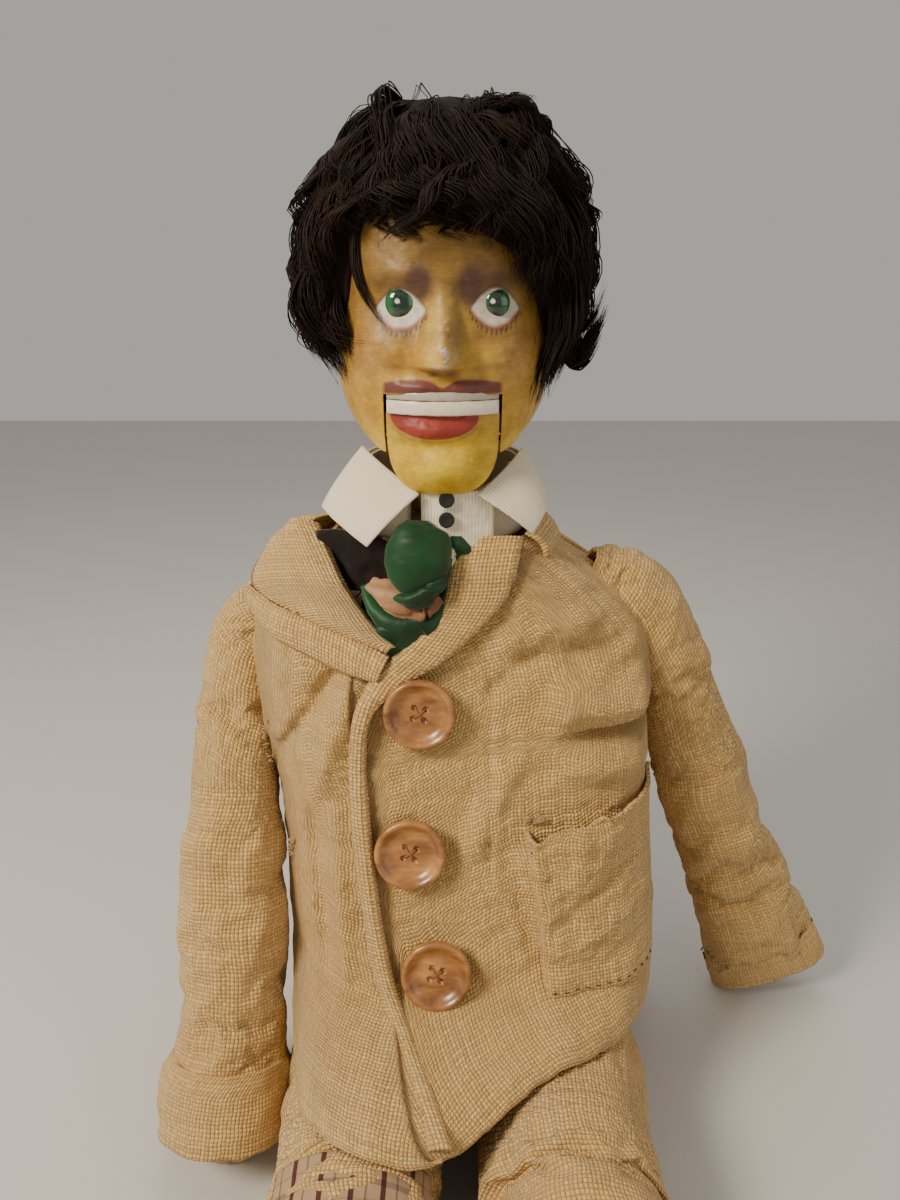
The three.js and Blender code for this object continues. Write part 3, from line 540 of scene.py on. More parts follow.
def knit_material():
    nodes = Nodes("sock_knit", 0.95, Sheen_Weight=0.2)
    height, yarn, _ = weave(nodes, 0.0022)
    nodes.colour(nodes.ramp(yarn, (0.0, (0.03, 0.026, 0.022)), (1.0, (0.075, 0.062, 0.05))))
    nodes.bump(height, 0.9, 0.0008)
    return nodes.material


def flat_thread(name, colour):
    nodes = Nodes(name, 0.8)
    twist = nodes.noise(nodes.place(), 1500.0, 2.0)
    nodes.colour(nodes.ramp(twist, (0.3, tuple(c * 0.55 for c in colour)), (0.8, colour)))
    nodes.bump(twist, 0.5, 0.0003)
    return nodes.material


TWEED = tweed_material()
HEAD_PAINT = painted_material()
HAIR = hair_material()
GLASS_EYE = eye_material()
ENAMEL = enamel_material()
# A darker copy of the tooth paint: painted shade for the upper strip, which sits back under the upper lip.
SHADED_ENAMEL = enamel_material("shaded_tooth_paint", 0.6)
HORN = horn_material()
SHIRT = shirt_material()
SILK = silk_material("silk", (0.003, 0.026, 0.007), (0.011, 0.085, 0.020))
SILK_TAN = silk_material("silk_tan", (0.22, 0.09, 0.04), (0.48, 0.27, 0.13))
PLAID = plaid_material()
WOOD = grained_wood("plain_wood", (0.36, 0.23, 0.12), (0.62, 0.46, 0.28), 0.7)
VARNISHED = grained_wood("varnished_wood", (0.20, 0.11, 0.05), (0.42, 0.27, 0.13), 0.35)
SHOE = leather_material("shoe_leather", (0.045, 0.022, 0.012), (0.13, 0.07, 0.04), 0.35)
SOLE = leather_material("sole_leather", (0.03, 0.02, 0.014), (0.10, 0.065, 0.04), 0.7)
LINING = leather_material("leather_lining", (0.12, 0.07, 0.04), (0.28, 0.18, 0.11), 0.7)
STEEL = metal_material()
KNIT = knit_material()
DARK_THREAD = flat_thread("dark_thread", (0.10, 0.035, 0.02))
PALE_THREAD = flat_thread("pale_thread", (0.62, 0.42, 0.2))
BUTTON_THREAD = flat_thread("button_thread", (0.42, 0.15, 0.05))
BLACK = flat_thread("black_button", (0.02, 0.018, 0.016))
CORD = flat_thread("cord", (0.5, 0.46, 0.38))


def dress(obj, material, body=None, replaces=()):
    """Gives a new piece its material and the body it rides on, and hides the nodes it stands for."""
    obj.data.materials.clear()
    obj.data.materials.append(material)
    if replaces:
        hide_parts(*replaces)
    if body:
        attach(obj, body)
    return obj


# ---------------------------------------------------------------- head
HEAD_BASE_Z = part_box("head_shell")[0].z / MM
MOUTH_Z = 487.0
JAW_HALF = 31.6
CHIN_TURN_Z, CHIN_LOW_Z = 455.0, 428.5
EYE_Z = 534.5
EYES = {"right": (-22.1, 8.6), "left": (28.4, 7.8)}
head_half = profile([(430, 26), (445, 36), (452, 44), (468, 56), (488, 63), (510, 64.5), (535, 64),
                     (562, 63), (588, 58), (606, 46), (617, 29), (622, 8)])
head_front = profile([(430, 60), (445, 72), (452, 74), (468, 76), (488, 77), (510, 77), (535, 74),
                      (562, 75), (588, 67), (606, 52), (617, 32), (622, 9)])
head_back = profile([(430, 30), (452, 44), (468, 55), (488, 62), (510, 68), (535, 72), (562, 72),
                     (588, 66), (606, 52), (617, 32), (622, 9)])


def face_relief(x, z):
    """How far the carved features stand out of the head's plain form, in millimetres."""
    out = 0.0
    for side, (cx, _) in EYES.items():
        dx = x - cx
        out -= 5.5 * bell(dx, 15) * bell(z - 531, 10)
        out += 2.2 * bell(dx, 11) * bell(z - 530, 7)
        out += 1.8 * bell(dx, 16) * bell(z - 549, 5)
    bridge = smooth(545, 508, z)
    tip = smooth(499.5, 503.0, z)
    width = lerp(5.0, 9.5, bridge)
    wedge = max(0.0, 1 - (abs(x) / (width * 1.5)) ** 1.35)
    out += (2.5 + 15.0 * bridge) * tip * wedge * smooth(553, 540, z)
    for side in (-1, 1):
        out += 4.0 * tip * bell(x - side * 9.5, 3.6) * bell(z - 506, 5)
        out += 3.2 * bell(x - side * 38, 15) * bell(z - 512, 15)
        out -= 1.8 * bell(x - side * 20, 5) * bell(z - 500, 10)
        out += 3.4 * bell(x - side * 14, 13) * bell(z - 491.5, 3.6)
    out += 4.2 * bell(x + 4, 22) * bell(z - 468, 5.5)
    out -= 2.2 * bell(x, 20) * bell(z - 458.5, 4)
    out += 4.0 * bell(x, 19) * bell(z - 445, 9)
    return out + 0.35 * rough(x, 0, z, 9)


def head_point(turn, z, inset=0.0):
    """A point on the head: turn 0 faces the front, +90 degrees the left ear."""
    half, front, back = head_half(z) - inset, head_front(z) - inset, head_back(z) - inset
    sine, cosine = math.sin(turn), math.cos(turn)
    power = 2 / 2.25
    x = math.copysign(abs(sine) ** power, sine) * half
    y = -math.copysign(abs(cosine) ** power, cosine) * (front if cosine > 0 else back)
    if cosine > 0 and inset < 1:
        y -= face_relief(x, z) * smooth(0.0, 0.45, cosine)
    return Vector((x, y, z))


def head_colour(x, y, z):
    """The painted colours of the head, from the places of its features."""
    ochre = Vector((0.53, 0.315, 0.040))
    tan = Vector((0.20, 0.108, 0.026))
    yellow = Vector((0.74, 0.49, 0.028))
    c = ochre.lerp(tan, smooth(500, 556, z) * 0.85)
    c = c.lerp(tan, 0.55 * smooth(30, 58, abs(x)) * smooth(470, 520, z))
    c = c.lerp(yellow, smooth(476, 454, z))
    # Painted highlight: a pale strip down the nose ridge.
    c = c.lerp(Vector((0.66, 0.45, 0.16)),
               0.7 * bell(x + 2, 7) * smooth(545, 520, z) * smooth(497, 505, z))
    c = c.lerp(Vector((0.42, 0.21, 0.10)), 0.45 * bell(abs(x) - 40, 14) * bell(z - 505, 16))
    plum = Vector((0.085, 0.042, 0.034))
    c = c.lerp(plum, 0.85 * smooth(1.35, 0.6, math.hypot((x + 12.5) / 7.5, (z - 544.5) / 9.5)))
    c = c.lerp(plum, 0.85 * smooth(1.35, 0.6, math.hypot((x - 14.5) / 7.0, (z - 543) / 10.5)))
    # Painted light and shade on the nose: the facet towards -x is painted lit yellow, the facet towards +x
    # painted shaded grey-brown.
    c = c.lerp(Vector((0.66, 0.46, 0.07)),
               0.6 * bell(x + 5.5, 4) * smooth(536, 524, z) * smooth(500, 506, z))
    c = c.lerp(Vector((0.30, 0.20, 0.08)),
               0.6 * bell(x - 7, 4) * smooth(536, 524, z) * smooth(500, 506, z))
    c = c.lerp(plum, 0.6 * bell(x - 25.0, 13) * bell(z - 549, 6))
    for cx in (EYES["right"][0], EYES["left"][0]):
        c = c.lerp(plum, 0.5 * bell(x - cx, 17) * bell(z - 545, 4))
        c = c.lerp(plum, 0.4 * bell(x - cx, 16) * bell(z - 518, 5))
    for cx, wide, corner in ((EYES["right"][0] - 0.6, 14.4, 530.6), (EYES["left"][0], 13.6, 531.6)):
        t = (x - cx) / wide
        if abs(t) < 1.18 and y < 0:
            arch = max(0.0, 1 - abs(t) ** 2.0)
            upper = corner + 11.0 * arch
            lower = corner - 9.2 * arch
            inside = (smooth(-0.5, 0.5, upper - z) * smooth(-0.5, 0.5, z - lower)
                      * smooth(1.02, 0.96, abs(t)))
            rim = bell(z - lower, 1.3) * smooth(1.08, 0.95, abs(t))
            lid = bell(z - upper, 1.2) * smooth(1.08, 0.95, abs(t))
            fan = math.sin((x - cx) * 2.1 + 1.1 * (lower - z) * t)
            lash = (smooth(5.4, 3.6, lower - z) * smooth(0.4, 1.2, lower - z) * smooth(0.1, 0.5, fan)
                    * smooth(1.12, 0.95, abs(t)))
            c = c.lerp(Vector((0.05, 0.026, 0.016)), 0.85 * lash)
            c = c.lerp(plum, 0.55 * bell(z - lower + 1.4, 1.4) * smooth(1.12, 0.95, abs(t)))
            c = c.lerp(Vector((0.72, 0.66, 0.54)), inside)
            c = c.lerp(Vector((0.32, 0.09, 0.07)), 0.7 * rim)
            c = c.lerp(plum, 0.8 * lid)
    if y < -40:
        lobe = 495.6 - 3.2 * bell(x, 5) - 0.006 * (abs(x) - 13) ** 2
        if abs(x) < 34:
            inside = smooth(-0.6, 0.6, lobe - z) * smooth(487, 488, z)
            c = c.lerp(Vector((0.18, 0.056, 0.044)), inside * smooth(34, 31, abs(x)))
        low = 473.5 - 10.5 * max(0.0, 1 - ((x + 4.5) / 24) ** 2) ** 0.6
        if abs(x + 4.5) < 24.5 and z < 478:
            inside = smooth(-0.5, 0.6, z - low)
            c = c.lerp(Vector((0.31, 0.040, 0.028)), inside)
            c = c.lerp(Vector((0.24, 0.15, 0.05)), 0.5 * bell(z - low + 1.6, 1.4))
        c = c.lerp(Vector((0.50, 0.26, 0.18)), 0.8 * bell(x, 5) * bell(z - 502, 2.2))
        c = c.lerp(plum, 0.75 * bell(abs(x) - 5, 4) * bell(z - 498.5, 1.8))
        c = c.lerp(plum, 0.45 * bell(abs(x + 1) - 24, 9) * bell(z - 499 - 0.12 * abs(x), 2))
        chip = (smooth(0.32, 0.5, rough(x, 3, z, 3.5)) * bell(x - 1, 3) * smooth(500, 506, z)
                * smooth(535, 520, z))
        c = c.lerp(Vector((0.80, 0.72, 0.58)), chip)
    return c


def make_head():
    around, up = 420, 220
    low, high = HEAD_BASE_Z, 621.9

    def outer(u, v):
        return head_point(2 * math.pi * u, lerp(low, high, v ** 0.96))

    points = grid_points(outer, around, up, True)
    faces = grid_faces(around, up, True)
    inner_around, inner_up = 60, 24
    base = len(points)
    points += grid_points(
        lambda u, v: head_point(2 * math.pi * u, lerp(low, high - 6, v), 6.0), inner_around, inner_up,
        True
    )
    faces += [tuple(reversed(face)) for face in grid_faces(inner_around, inner_up, True, base)]
    step = around // inner_around
    for k in range(inner_around):
        inner_a = base + k * (inner_up + 1)
        inner_b = base + ((k + 1) % inner_around) * (inner_up + 1)
        rim = [((k * step + s) % around) * (up + 1) for s in range(step + 1)]
        faces.append((inner_a, inner_b, *reversed(rim)))
    faces.append(tuple(k * (up + 1) + up for k in range(around)))
    faces.append(tuple(reversed([base + k * (inner_up + 1) + inner_up for k in range(inner_around)])))
    head = add_mesh("painted_head_shell", points, faces)
    cut_with(head, block((-JAW_HALF - 1.3, -120, HEAD_BASE_Z - 20), (JAW_HALF + 1.3, -22, MOUTH_Z)))
    cut_with(head, block((-34, 20, 492), (34, 90, 572)))
    paint(head, head_colour)
    head.data.polygons.foreach_set("use_smooth", [True] * len(head.data.polygons))
    dress(head, HEAD_PAINT, "head", ["head_shell"])


def make_jaw():
    wide, tall = 110, 90
    top = MOUTH_Z - 10.5

    def outer(u, v):
        x = lerp(-JAW_HALF, JAW_HALF, u)
        angle = max(0.0, (v - 0.55) / 0.45) * math.pi / 2
        z = lerp(top, CHIN_TURN_Z, min(v / 0.55, 1)) - (CHIN_TURN_Z - CHIN_LOW_Z) * math.sin(angle)
        x *= 1 - 0.80 * (1 - math.cos(angle))
        half, front = head_half(max(z, 452)) * 0.97, head_front(max(z, 452))
        y = -front * (1 - min(abs(x) / half, 0.995) ** 2.25) ** (1 / 2.25) - face_relief(x, z)
        return Vector((x, y + 15 * (1 - math.cos(angle)), z))

    def inner(u, v):
        point = outer(u, v)
        return Vector((point.x * 0.9, min(point.y + 8, -44), max(point.z, 437)))

    points = grid_points(outer, wide, tall) + grid_points(inner, wide, tall)
    faces = [tuple(reversed(f)) for f in grid_faces(wide, tall)]
    base = (wide + 1) * (tall + 1)
    faces += grid_faces(wide, tall, False, base)
    row = tall + 1
    for i in range(wide):
        a, b = i * row, (i + 1) * row
        faces.append((a, b, b + base, a + base))
        faces.append((b + tall, a + tall, a + tall + base, b + tall + base))
    for j in range(tall):
        a, b = j, wide * row + j
        faces.append((a + 1, a, a + base, a + 1 + base))
        faces.append((b, b + 1, b + 1 + base, b + base))
    jaw = add_mesh("painted_jaw", points, faces)
    paint(jaw, head_colour)
    dress(jaw, HEAD_PAINT, "jaw", ["jaw"])
    make_tooth_bar()


def bar(name, low_z, high_z, front_y, depth, bow, material, body, node):
    """A curved bar across the mouth with softened edges."""
    count = 60
    section = [(0.0, 0.12), (0.12, 0.0), (0.88, 0.0), (1.0, 0.12), (1.0, 1.0), (0.0, 1.0)]
    points, faces = [], []
    for i in range(count + 1):
        x = lerp(-31.0, 31.0, i / count)
        bend = bow * (x / 31) ** 2
        for up, back in section:
            worn = 0.35 * rough(x, up * 5, 2, 6)
            points.append((x, front_y + bend + back * depth, lerp(low_z, high_z, up) + worn * 0.5))
    sides = len(section)
    for i in range(count):
        for k in range(sides):
            a, b = i * sides + k, i * sides + (k + 1) % sides
            faces.append((a, a + sides, b + sides, b))
    faces.append(tuple(range(sides)))
    faces.append(tuple(reversed(range(count * sides, count * sides + sides))))
    dress(add_mesh(name, points, faces), material, body, [node])


def make_tooth_bar():
    bar("tooth_bar_enamel", MOUTH_Z - 10.4, MOUTH_Z - 3.0, -81.0, 5, 11, ENAMEL, "jaw", "lower_tooth_bar")
    # The upper strip takes the painted-shade copy of the tooth paint.
    bar("upper_strip_enamel", MOUTH_Z - 2.6, MOUTH_Z + 2, -79.8, 5, 11, SHADED_ENAMEL, "head",
        "upper_tooth_strip")


def make_eye(side):
    cx, radius = EYES[side]
    centre_y = head_point(math.asin(clamp(abs(cx) / 64) ** 1.125) * (1 if cx > 0 else -1), EYE_Z).y
    outline = [(radius * math.sin(a), 4.6 * math.cos(a))
               for a in [math.pi / 2 * k / 14 for k in range(15)]]
    outline += [(radius - 0.2, -5), (0, -5)]
    dome = lathe("glass_eye_" + side, outline, 48, (cx, centre_y + 1.0, EYE_Z))

    def colour(x, y, z):
        away = math.hypot(x - cx, z - EYE_Z) / radius
        sideways = abs(x - cx) / radius
        iris = Vector((0.006, 0.02, 0.008)).lerp(Vector((0.012, 0.12, 0.028)),
                                                 smooth(0.35, 0.7, sideways))
        c = Vector((0.003, 0.004, 0.003)).lerp(iris, smooth(0.30, 0.5, away))
        c = c.lerp(Vector((0.004, 0.012, 0.006)), smooth(0.90, 0.99, away))
        glint = math.hypot(x - cx + radius * 0.2, z - EYE_Z - radius * 0.12)
        return c.lerp(Vector((0.9, 0.9, 0.85)), smooth(1.5, 0.9, glint))

    paint(dome, colour)
    dress(dome, GLASS_EYE, "head", ["eye_" + side])


# ---------------------------------------------------------------- wig
def wig_point(turn, z, lift):
    """A point over the scalp; above the crown the surface closes like a cap."""
    clipped = min(z, 606.0)
    base = head_point(turn, clipped, 1.01)
    over = (z - clipped)
    shrink = math.sqrt(max(0.0, 1 - (over / 22) ** 2)) if over < 22 else 0.0
    flat = Vector((base.x, base.y, 0)) * (shrink if over > 0 else 1.0)
    away = Vector((base.x, base.y, 0)).normalized()
    steep = smooth(585, 622, z)
    point = Vector((flat.x, flat.y, min(z, 624))) + away * lift * (1 - 0.75 * steep)
    point.z += lift * steep
    return point


fringe_low = profile([(-1.1, 535), (-0.85, 568), (-0.4, 573), (0.0, 576), (0.2, 577), (0.33, 566),
                      (0.46, 556),
                      (0.62, 549), (0.76, 538), (0.92, 526), (1.05, 514), (1.3, 482)])
TUFTS = ((-1.25, 608), (-1.5, 592), (-0.7, 620), (0.9, 620), (1.2, 608), (1.45, 596), (1.5, 572),
         (-1.5, 566), (2.4, 610), (-2.4, 610))


def lock_path(turn, z, drop, drift, lift, curl, seed, steps=11):
    """A lock's path: it springs from the scalp, lies over the hair below and curls at its tip."""
    phase = seed * 1.7
    path = []
    for i in range(steps + 1):
        t = i / steps
        wave = phase + t * curl * 6.5
        here = turn + drift * t + 0.10 * math.sin(wave) * t
        rise = lift * (0.25 + 0.75 * math.sin(math.pi * min(0.12 + t * 0.82, 1.0)))
        rise += 5.0 * math.cos(wave) * t
        rise *= lerp(0.35, 1.0, smooth(488, 526, z - drop * t))
        path.append(wig_point(here, z - drop * t ** 1.12, max(rise, 1.0)))
    return path


def strand_bundle(path, spread, count, parts, thickness=0.42):
    """Adds a lock of loose strands that start together, part in the middle and meet at the tip."""
    points, faces, uvs = parts
    steps = len(path) - 1
    sides = 3
    for _ in range(count):
        angle, away = rng.uniform(0, 2 * math.pi), math.sqrt(rng.random())
        offset = (Vector((math.cos(angle), 0.8 * math.sin(angle), 0.7 * math.sin(angle + 1))) * away
                  * spread)
        stray = Vector((rng.gauss(0, 1), rng.gauss(0, 1), rng.gauss(0, 1))) * 0.16 * spread
        cut_short = rng.uniform(0.72, 1.0)
        phase, waves = rng.uniform(0, 6.3), rng.uniform(4, 9)
        line = []
        for i in range(steps + 1):
            t = i / steps * cut_short
            k = t * steps
            low = min(int(k), steps - 1)
            here = path[low].lerp(path[low + 1], k - low)
            open_by = 0.45 + 0.75 * math.sin(math.pi * min(t * 0.95 + 0.08, 1))
            wiggle = 0.5 * math.sin(phase + waves * t)
            line.append(here + offset * open_by + stray * t * t * 3 + Vector((wiggle, 0, wiggle * 0.5)))
        radii = [thickness * (1 - 0.85 * smooth(0.6, 1.0, i / steps)) for i in range(steps + 1)]
        base = len(points)
        more, quads = tube_parts(line, radii, sides, base)
        points += more
        faces += quads
        shade = rng.random()
        uvs += [(shade, i * 0.004) for i in range(steps + 1) for _ in range(sides)]


def hair_piece(name, locks, thickness=0.42):
    """One wig piece from (path, spread, strand count) locks."""
    parts = ([], [], [])
    for path, spread, count in locks:
        strand_bundle(path, spread, count, parts, thickness)
    points, faces, uvs = parts
    obj = add_mesh(name, points, faces)
    layer = obj.data.uv_layers.new(name="hair")
    coordinates = [0.0] * (2 * len(obj.data.loops))
    for loop in obj.data.loops:
        coordinates[2 * loop.index], coordinates[2 * loop.index + 1] = uvs[loop.vertex_index]
    layer.data.foreach_set("uv", coordinates)
    return dress(obj, HAIR, "head")


def make_wig_cap():
    around, up = 72, 34

    def cap(u, v):
        turn = 2 * math.pi * u
        signed = (turn + math.pi) % (2 * math.pi) - math.pi
        facing = abs(signed)
        low = lerp(578 - 16 * smooth(0.0, 0.6, signed), 512, smooth(0.62, 1.15, facing))
        low = lerp(low, 488, smooth(1.3, 2.1, facing))
        z = lerp(low, 622, v)
        lift = 3 + 6 * smooth(0, 0.35, v) + 5 * smooth(0.6, 0.95, v)
        return wig_point(turn, z, lift + 2.2 * rough(u * 300, 0, z, 16))

    points = grid_points(cap, around, up, True)
    faces = grid_faces(around, up, True)
    faces.append(tuple(k * (up + 1) + up for k in range(around)))
    base = add_mesh("wig_cap", points, faces)
    thicken(base, 3.0, -1)
    base.data.uv_layers.new(name="hair")
    settle(base)
    dress(base, HAIR, "head", ["wig"])


def make_wig():
    make_wig_cap()
    pick = rng.uniform
    front = []
    for n in range(76):  # the fringe, swept across to the left brow
        turn, drift = pick(-0.50, 0.66), pick(0.12, 0.42)
        z = pick(590, 620)
        low = fringe_low(turn + drift) + pick(1, 13)
        front.append((lock_path(turn, z, z - low, drift, pick(11, 25), pick(0.6, 1.7), n), pick(3.5, 7),
                      30))
    for n in range(14):  # small curls on the forehead
        path = lock_path(pick(-0.68, 0.1), 582, pick(9, 19), pick(-0.3, 0.3), pick(1.5, 5),
                         pick(1.8, 2.8), n)
        front.append((path, 1.3, 12))
    hair_piece("wig_fringe", front)

    temples = []
    for n in range(30):  # the mass that falls to the left eye's corner
        turn, drift = pick(0.55, 1.0), pick(0.0, 0.2)
        z = pick(566, 604)
        low = fringe_low(turn + drift) + pick(1, 10)
        temples.append((lock_path(turn, z, z - low, drift, pick(10, 22), pick(0.6, 1.7), n),
                        pick(3.5, 6.5), 34))
    for n in range(26):  # the right of the fringe, swept the other way
        turn, drift = pick(-0.95, -0.3), pick(-0.4, -0.1)
        z = pick(588, 614)
        low = fringe_low(turn + drift) + pick(1, 10)
        temples.append((lock_path(turn, z, z - low, drift, pick(8, 18), pick(0.6, 1.7), n), pick(3, 6),
                        34))
    hair_piece("wig_temples", temples)

    for side, name, bottom in ((-1, "right", 488), (1, "left", 474)):
        locks = []
        for n in range(74):
            turn = side * pick(1.02, 1.95)
            z = pick(535, 612)
            low = bottom + 34 * smooth(1.2, 1.6, abs(turn)) + pick(0, 18)
            path = lock_path(turn, z, clamp(z - low, 14, 96), pick(-0.16, 0.16), pick(9, 23),
                             pick(0.6, 1.8), n)
            locks.append((path, pick(3.5, 6.5), 34))
        hair_piece("wig_side_" + name, locks)

    crown = []
    for n in range(78):  # tousled tufts over the crown
        turn = pick(-math.pi, math.pi)
        z = pick(600, 626)
        crown.append((lock_path(turn, z, pick(14, 40), pick(-0.9, 0.9), pick(15, 26), pick(0.9, 2.0), n),
                      pick(4, 7), 34))
    hair_piece("wig_crown", crown)

    back = []
    for n in range(82):
        turn = pick(1.75, 2 * math.pi - 1.75)
        z = pick(524, 618)
        low = 486 + 24 * smooth(2.3, 1.8, min(turn, 2 * math.pi - turn))
        path = lock_path(turn, z, clamp(z - low, 12, pick(34, 66)), pick(-0.3, 0.3), pick(8, 18),
                         pick(0.6, 1.6), n)
        back.append((path, pick(5, 8), 34))
    hair_piece("wig_back", back)

    loose = []
    for turn, z in TUFTS:  # bigger tufts that break the outline
        for n in range(3):
            path = lock_path(turn + pick(-0.12, 0.12), z + pick(-4, 4), pick(18, 32), pick(-0.35, 0.35),
                             pick(20, 27), pick(1.1, 1.9), n)
            loose.append((path, pick(3, 5), 24))
    for n in range(9):  # the tuft that stands up at the top
        root = wig_point(0.5, 614, 8) + Vector((pick(-26, 4), pick(-6, 10), 0))
        reach = pick(18, 30)
        line = [root + Vector((reach * t, -7 * t, pick(12, 14) * math.sin(2.6 * t) + 2 * math.sin(9 * t)))
                for t in [i / 11 for i in range(12)]]
        loose.append((line, pick(3, 5), 24))
    for n in range(9):  # the outward flick at the left side
        root = wig_point(1.42 + pick(-0.25, 0.2), pick(508, 530), 9)
        reach = pick(0.7, 1.0)
        line = []
        for i in range(12):
            t = i / 11
            line.append(root
                        + Vector((25 * t * reach, -4 * t,
                                  -15 * math.sin(math.pi * t * 0.9) + 20 * t * t * reach)))
        loose.append((line, 3.0, 34))
    for n in range(3):  # the thin lock beside the right eye
        line = []
        for i in range(12):
            t = i / 11
            turn = -0.78 - 0.10 * math.sin(2.8 * t) + 0.33 * t ** 2.6 + n * 0.012
            line.append(head_point(turn, 586 - 62 * t, 1.01)
                        + Vector((0, -3.5 - 3 * math.sin(math.pi * t), 0)))
        loose.append((line, 1.5, 16))
    hair_piece("wig_loose_locks", loose)

    strays = []
    for n in range(330):
        turn = pick(-math.pi, math.pi)
        z = pick(585, 626) if abs(turn) < 1.0 else pick(510, 626)
        end = lerp(570, 494, smooth(0.7, 1.3, abs(turn)))
        strays.append((lock_path(turn, z, clamp(z - end, 6, pick(16, 50)), pick(-0.7, 0.7), pick(12, 25),
                                 pick(0.6, 2.2), n), 3.0, 3))
    hair_piece("wig_strays", strays, 0.24)


# ---------------------------------------------------------------- jacket
SQUARENESS = 3.2
coat_left = profile([(24, 146), (100, 151), (140, 151), (180, 145), (226, 141), (260, 139), (300, 140),
                     (328, 137), (350, 124), (366, 106), (380, 84), (390, 68), (400, 54)])
coat_right = profile([(24, 102), (146, 110), (200, 111), (238, 114), (284, 125), (313, 127), (340, 124),
                      (358, 117), (372, 104), (388, 80), (400, 62)])
coat_front = profile([(90, 132), (126, 126), (160, 115), (210, 102), (270, 88), (300, 81), (340, 72),
                      (366, 66), (400, 54)])
coat_back = profile([(24, 73), (120, 71), (300, 67), (340, 64), (366, 62), (400, 54)])
v_top = profile([(-180, 398), (-75, 392), (-58, 366), (-45, 352), (-24, 334), (-15, 342), (-5, 366),
                 (5, 390), (24, 397), (75, 398), (180, 398)])
lap_reach = profile([(-115, 70), (-90, 84), (-12, 92), (57, 48), (110, 28), (138, 10), (160, 4)])
lap_height = profile([(-115, 78), (-92, 90), (-50, 103), (10, 97), (75, 107), (115, 100), (138, 82),
                      (155, 66)])
side_hem = profile([(-180, 24), (-120, 30), (-90, 58), (-70, 80), (70, 86), (90, 62), (120, 34),
                    (180, 24)])
front_rows = profile([(0, 98), (0.07, 101), (0.13, 107), (0.18, 116), (0.24, 132), (0.6, 235), (1, 336)])


def overlap_angle(v):
    """Where the two fronts lap: to the right at the chest, nearer the middle on the lap."""
    return lerp(-2.0, -18.0, smooth(0.02, 0.42, v))


def ridge(x, z, x1, z1, x2, z2, width):
    """A long soft fold between two places on the jacket front."""
    length = math.hypot(x2 - x1, z2 - z1)
    ux, uz = (x2 - x1) / length, (z2 - z1) / length
    along = (x - x1) * ux + (z - z1) * uz
    away = (x - x1) * -uz + (z - z1) * ux
    taper = smooth(-0.15 * length, 0.2 * length, along) * smooth(1.1 * length, 0.75 * length, along)
    return taper * bell(away, width)


# Each fold of the jacket front: its height, the x and z of both ends, and its width.
FRONT_FOLDS = (
    (-20.0, 156, 276, 76, 279, 4.6),
    (9.0, 150, 258, 70, 262, 10.0),
    (14.0, 146, 296, 60, 304, 13.0),
    (-5.0, 112, 334, 40, 326, 6.0),
    (-4.0, 64, 338, 20, 300, 6.0),
    (5.0, 96, 352, 34, 342, 8.0),
    (-5.0, 120, 196, 66, 166, 5.0),
    (4.0, 136, 176, 70, 148, 8.0),
    (-4.5, 20, 250, -10, 184, 5.0),
    (4.0, 44, 268, 12, 200, 7.0),
    (-2.0, 28, 322, 29, 176, 1.6),
    (1.2, 33, 322, 34, 176, 3.0),
    (-3.0, 38, 214, 62, 130, 5.0),
    (3.0, 52, 214, 84, 120, 8.0),
    (-2.6, 2, 168, 30, 106, 4.5),
    (-8.5, -62, 326, -108, 256, 6.0),
    (6.0, -56, 312, -88, 226, 8.0),
    (-5.0, -84, 240, -72, 120, 6.0),
    (4.6, -68, 250, -62, 110, 7.0),
)


def front_folds(x, z):
    """Standing folds and creases of the jacket front, in millimetres."""
    out = 3.2 * rough(x * 0.8, 11, z, 42) + 1.3 * rough(x, 5, z * 1.6, 15)
    for height, *line in FRONT_FOLDS:
        out += height * ridge(x, z, *line)
    return out


def coat_y(x, z, out=0.0):
    """How far forward the jacket front stands at a place, in millimetres."""
    half = (coat_left if x > 0 else coat_right)(z)
    reach = coat_front(z)
    edge = min(abs(x) / half, 0.992)
    shape = (1 - edge ** SQUARENESS) ** (1 / SQUARENESS)
    return -reach * shape - front_folds(x, z) * smooth(0.2, 0.7, shape) - out


def coat_point(angle, v, out=0.0):
    """A point on the jacket: angle 0 faces the front, +90 the left arm; v runs from hem to top."""
    turn = math.radians(angle)
    sine, cosine = math.sin(turn), math.cos(turn)
    top = v_top(angle)
    z_side = lerp(side_hem(angle), top, v)
    z_front = front_rows(v) if v < 0.6 else lerp(235, top, (v - 0.6) / 0.4)
    share = smooth(80, 42, abs(angle))
    z = lerp(z_side, z_front, share)
    half = (coat_left if sine > 0 else coat_right)(z)
    power = 2 / SQUARENESS
    x = math.copysign(abs(sine) ** power, sine) * half
    lap = smooth(131, 99, z_front) * share
    if cosine > 0:
        shape = cosine ** power
        reach = coat_front(max(z, 100)) + lap * lap_reach(x)
        y = -reach * shape - front_folds(x, z) * smooth(0.2, 0.7, shape) * (1 - 0.6 * lap) - out
    else:
        y = (abs(cosine) ** power * (coat_back(z) + out) + 2.2 * rough(x, 7, z, 38)
             + 1.2 * rough(x, 9, z * 2, 14))
        x += out * sine
    if abs(sine) > 0.8:
        x += math.copysign(1.0, sine) * (2.2 * rough(y, 3, z, 36) + out) * smooth(0.8, 0.97, abs(sine))
    z += lap * (lap_height(x) - 99) + lap * (2.5 * rough(x, y, 3, 26) + out)
    return Vector((x, y, z))


def cloth_panel(name, surface, nu, nv, thickness=2.6):
    """A cloth sheet from surface(u, v) with weave-true UVs and some thickness."""
    panel = add_mesh(name, grid_points(surface, nu, nv), grid_faces(nu, nv))
    set_uv(panel, nu, nv)
    thicken(panel, thickness)
    return settle(panel)


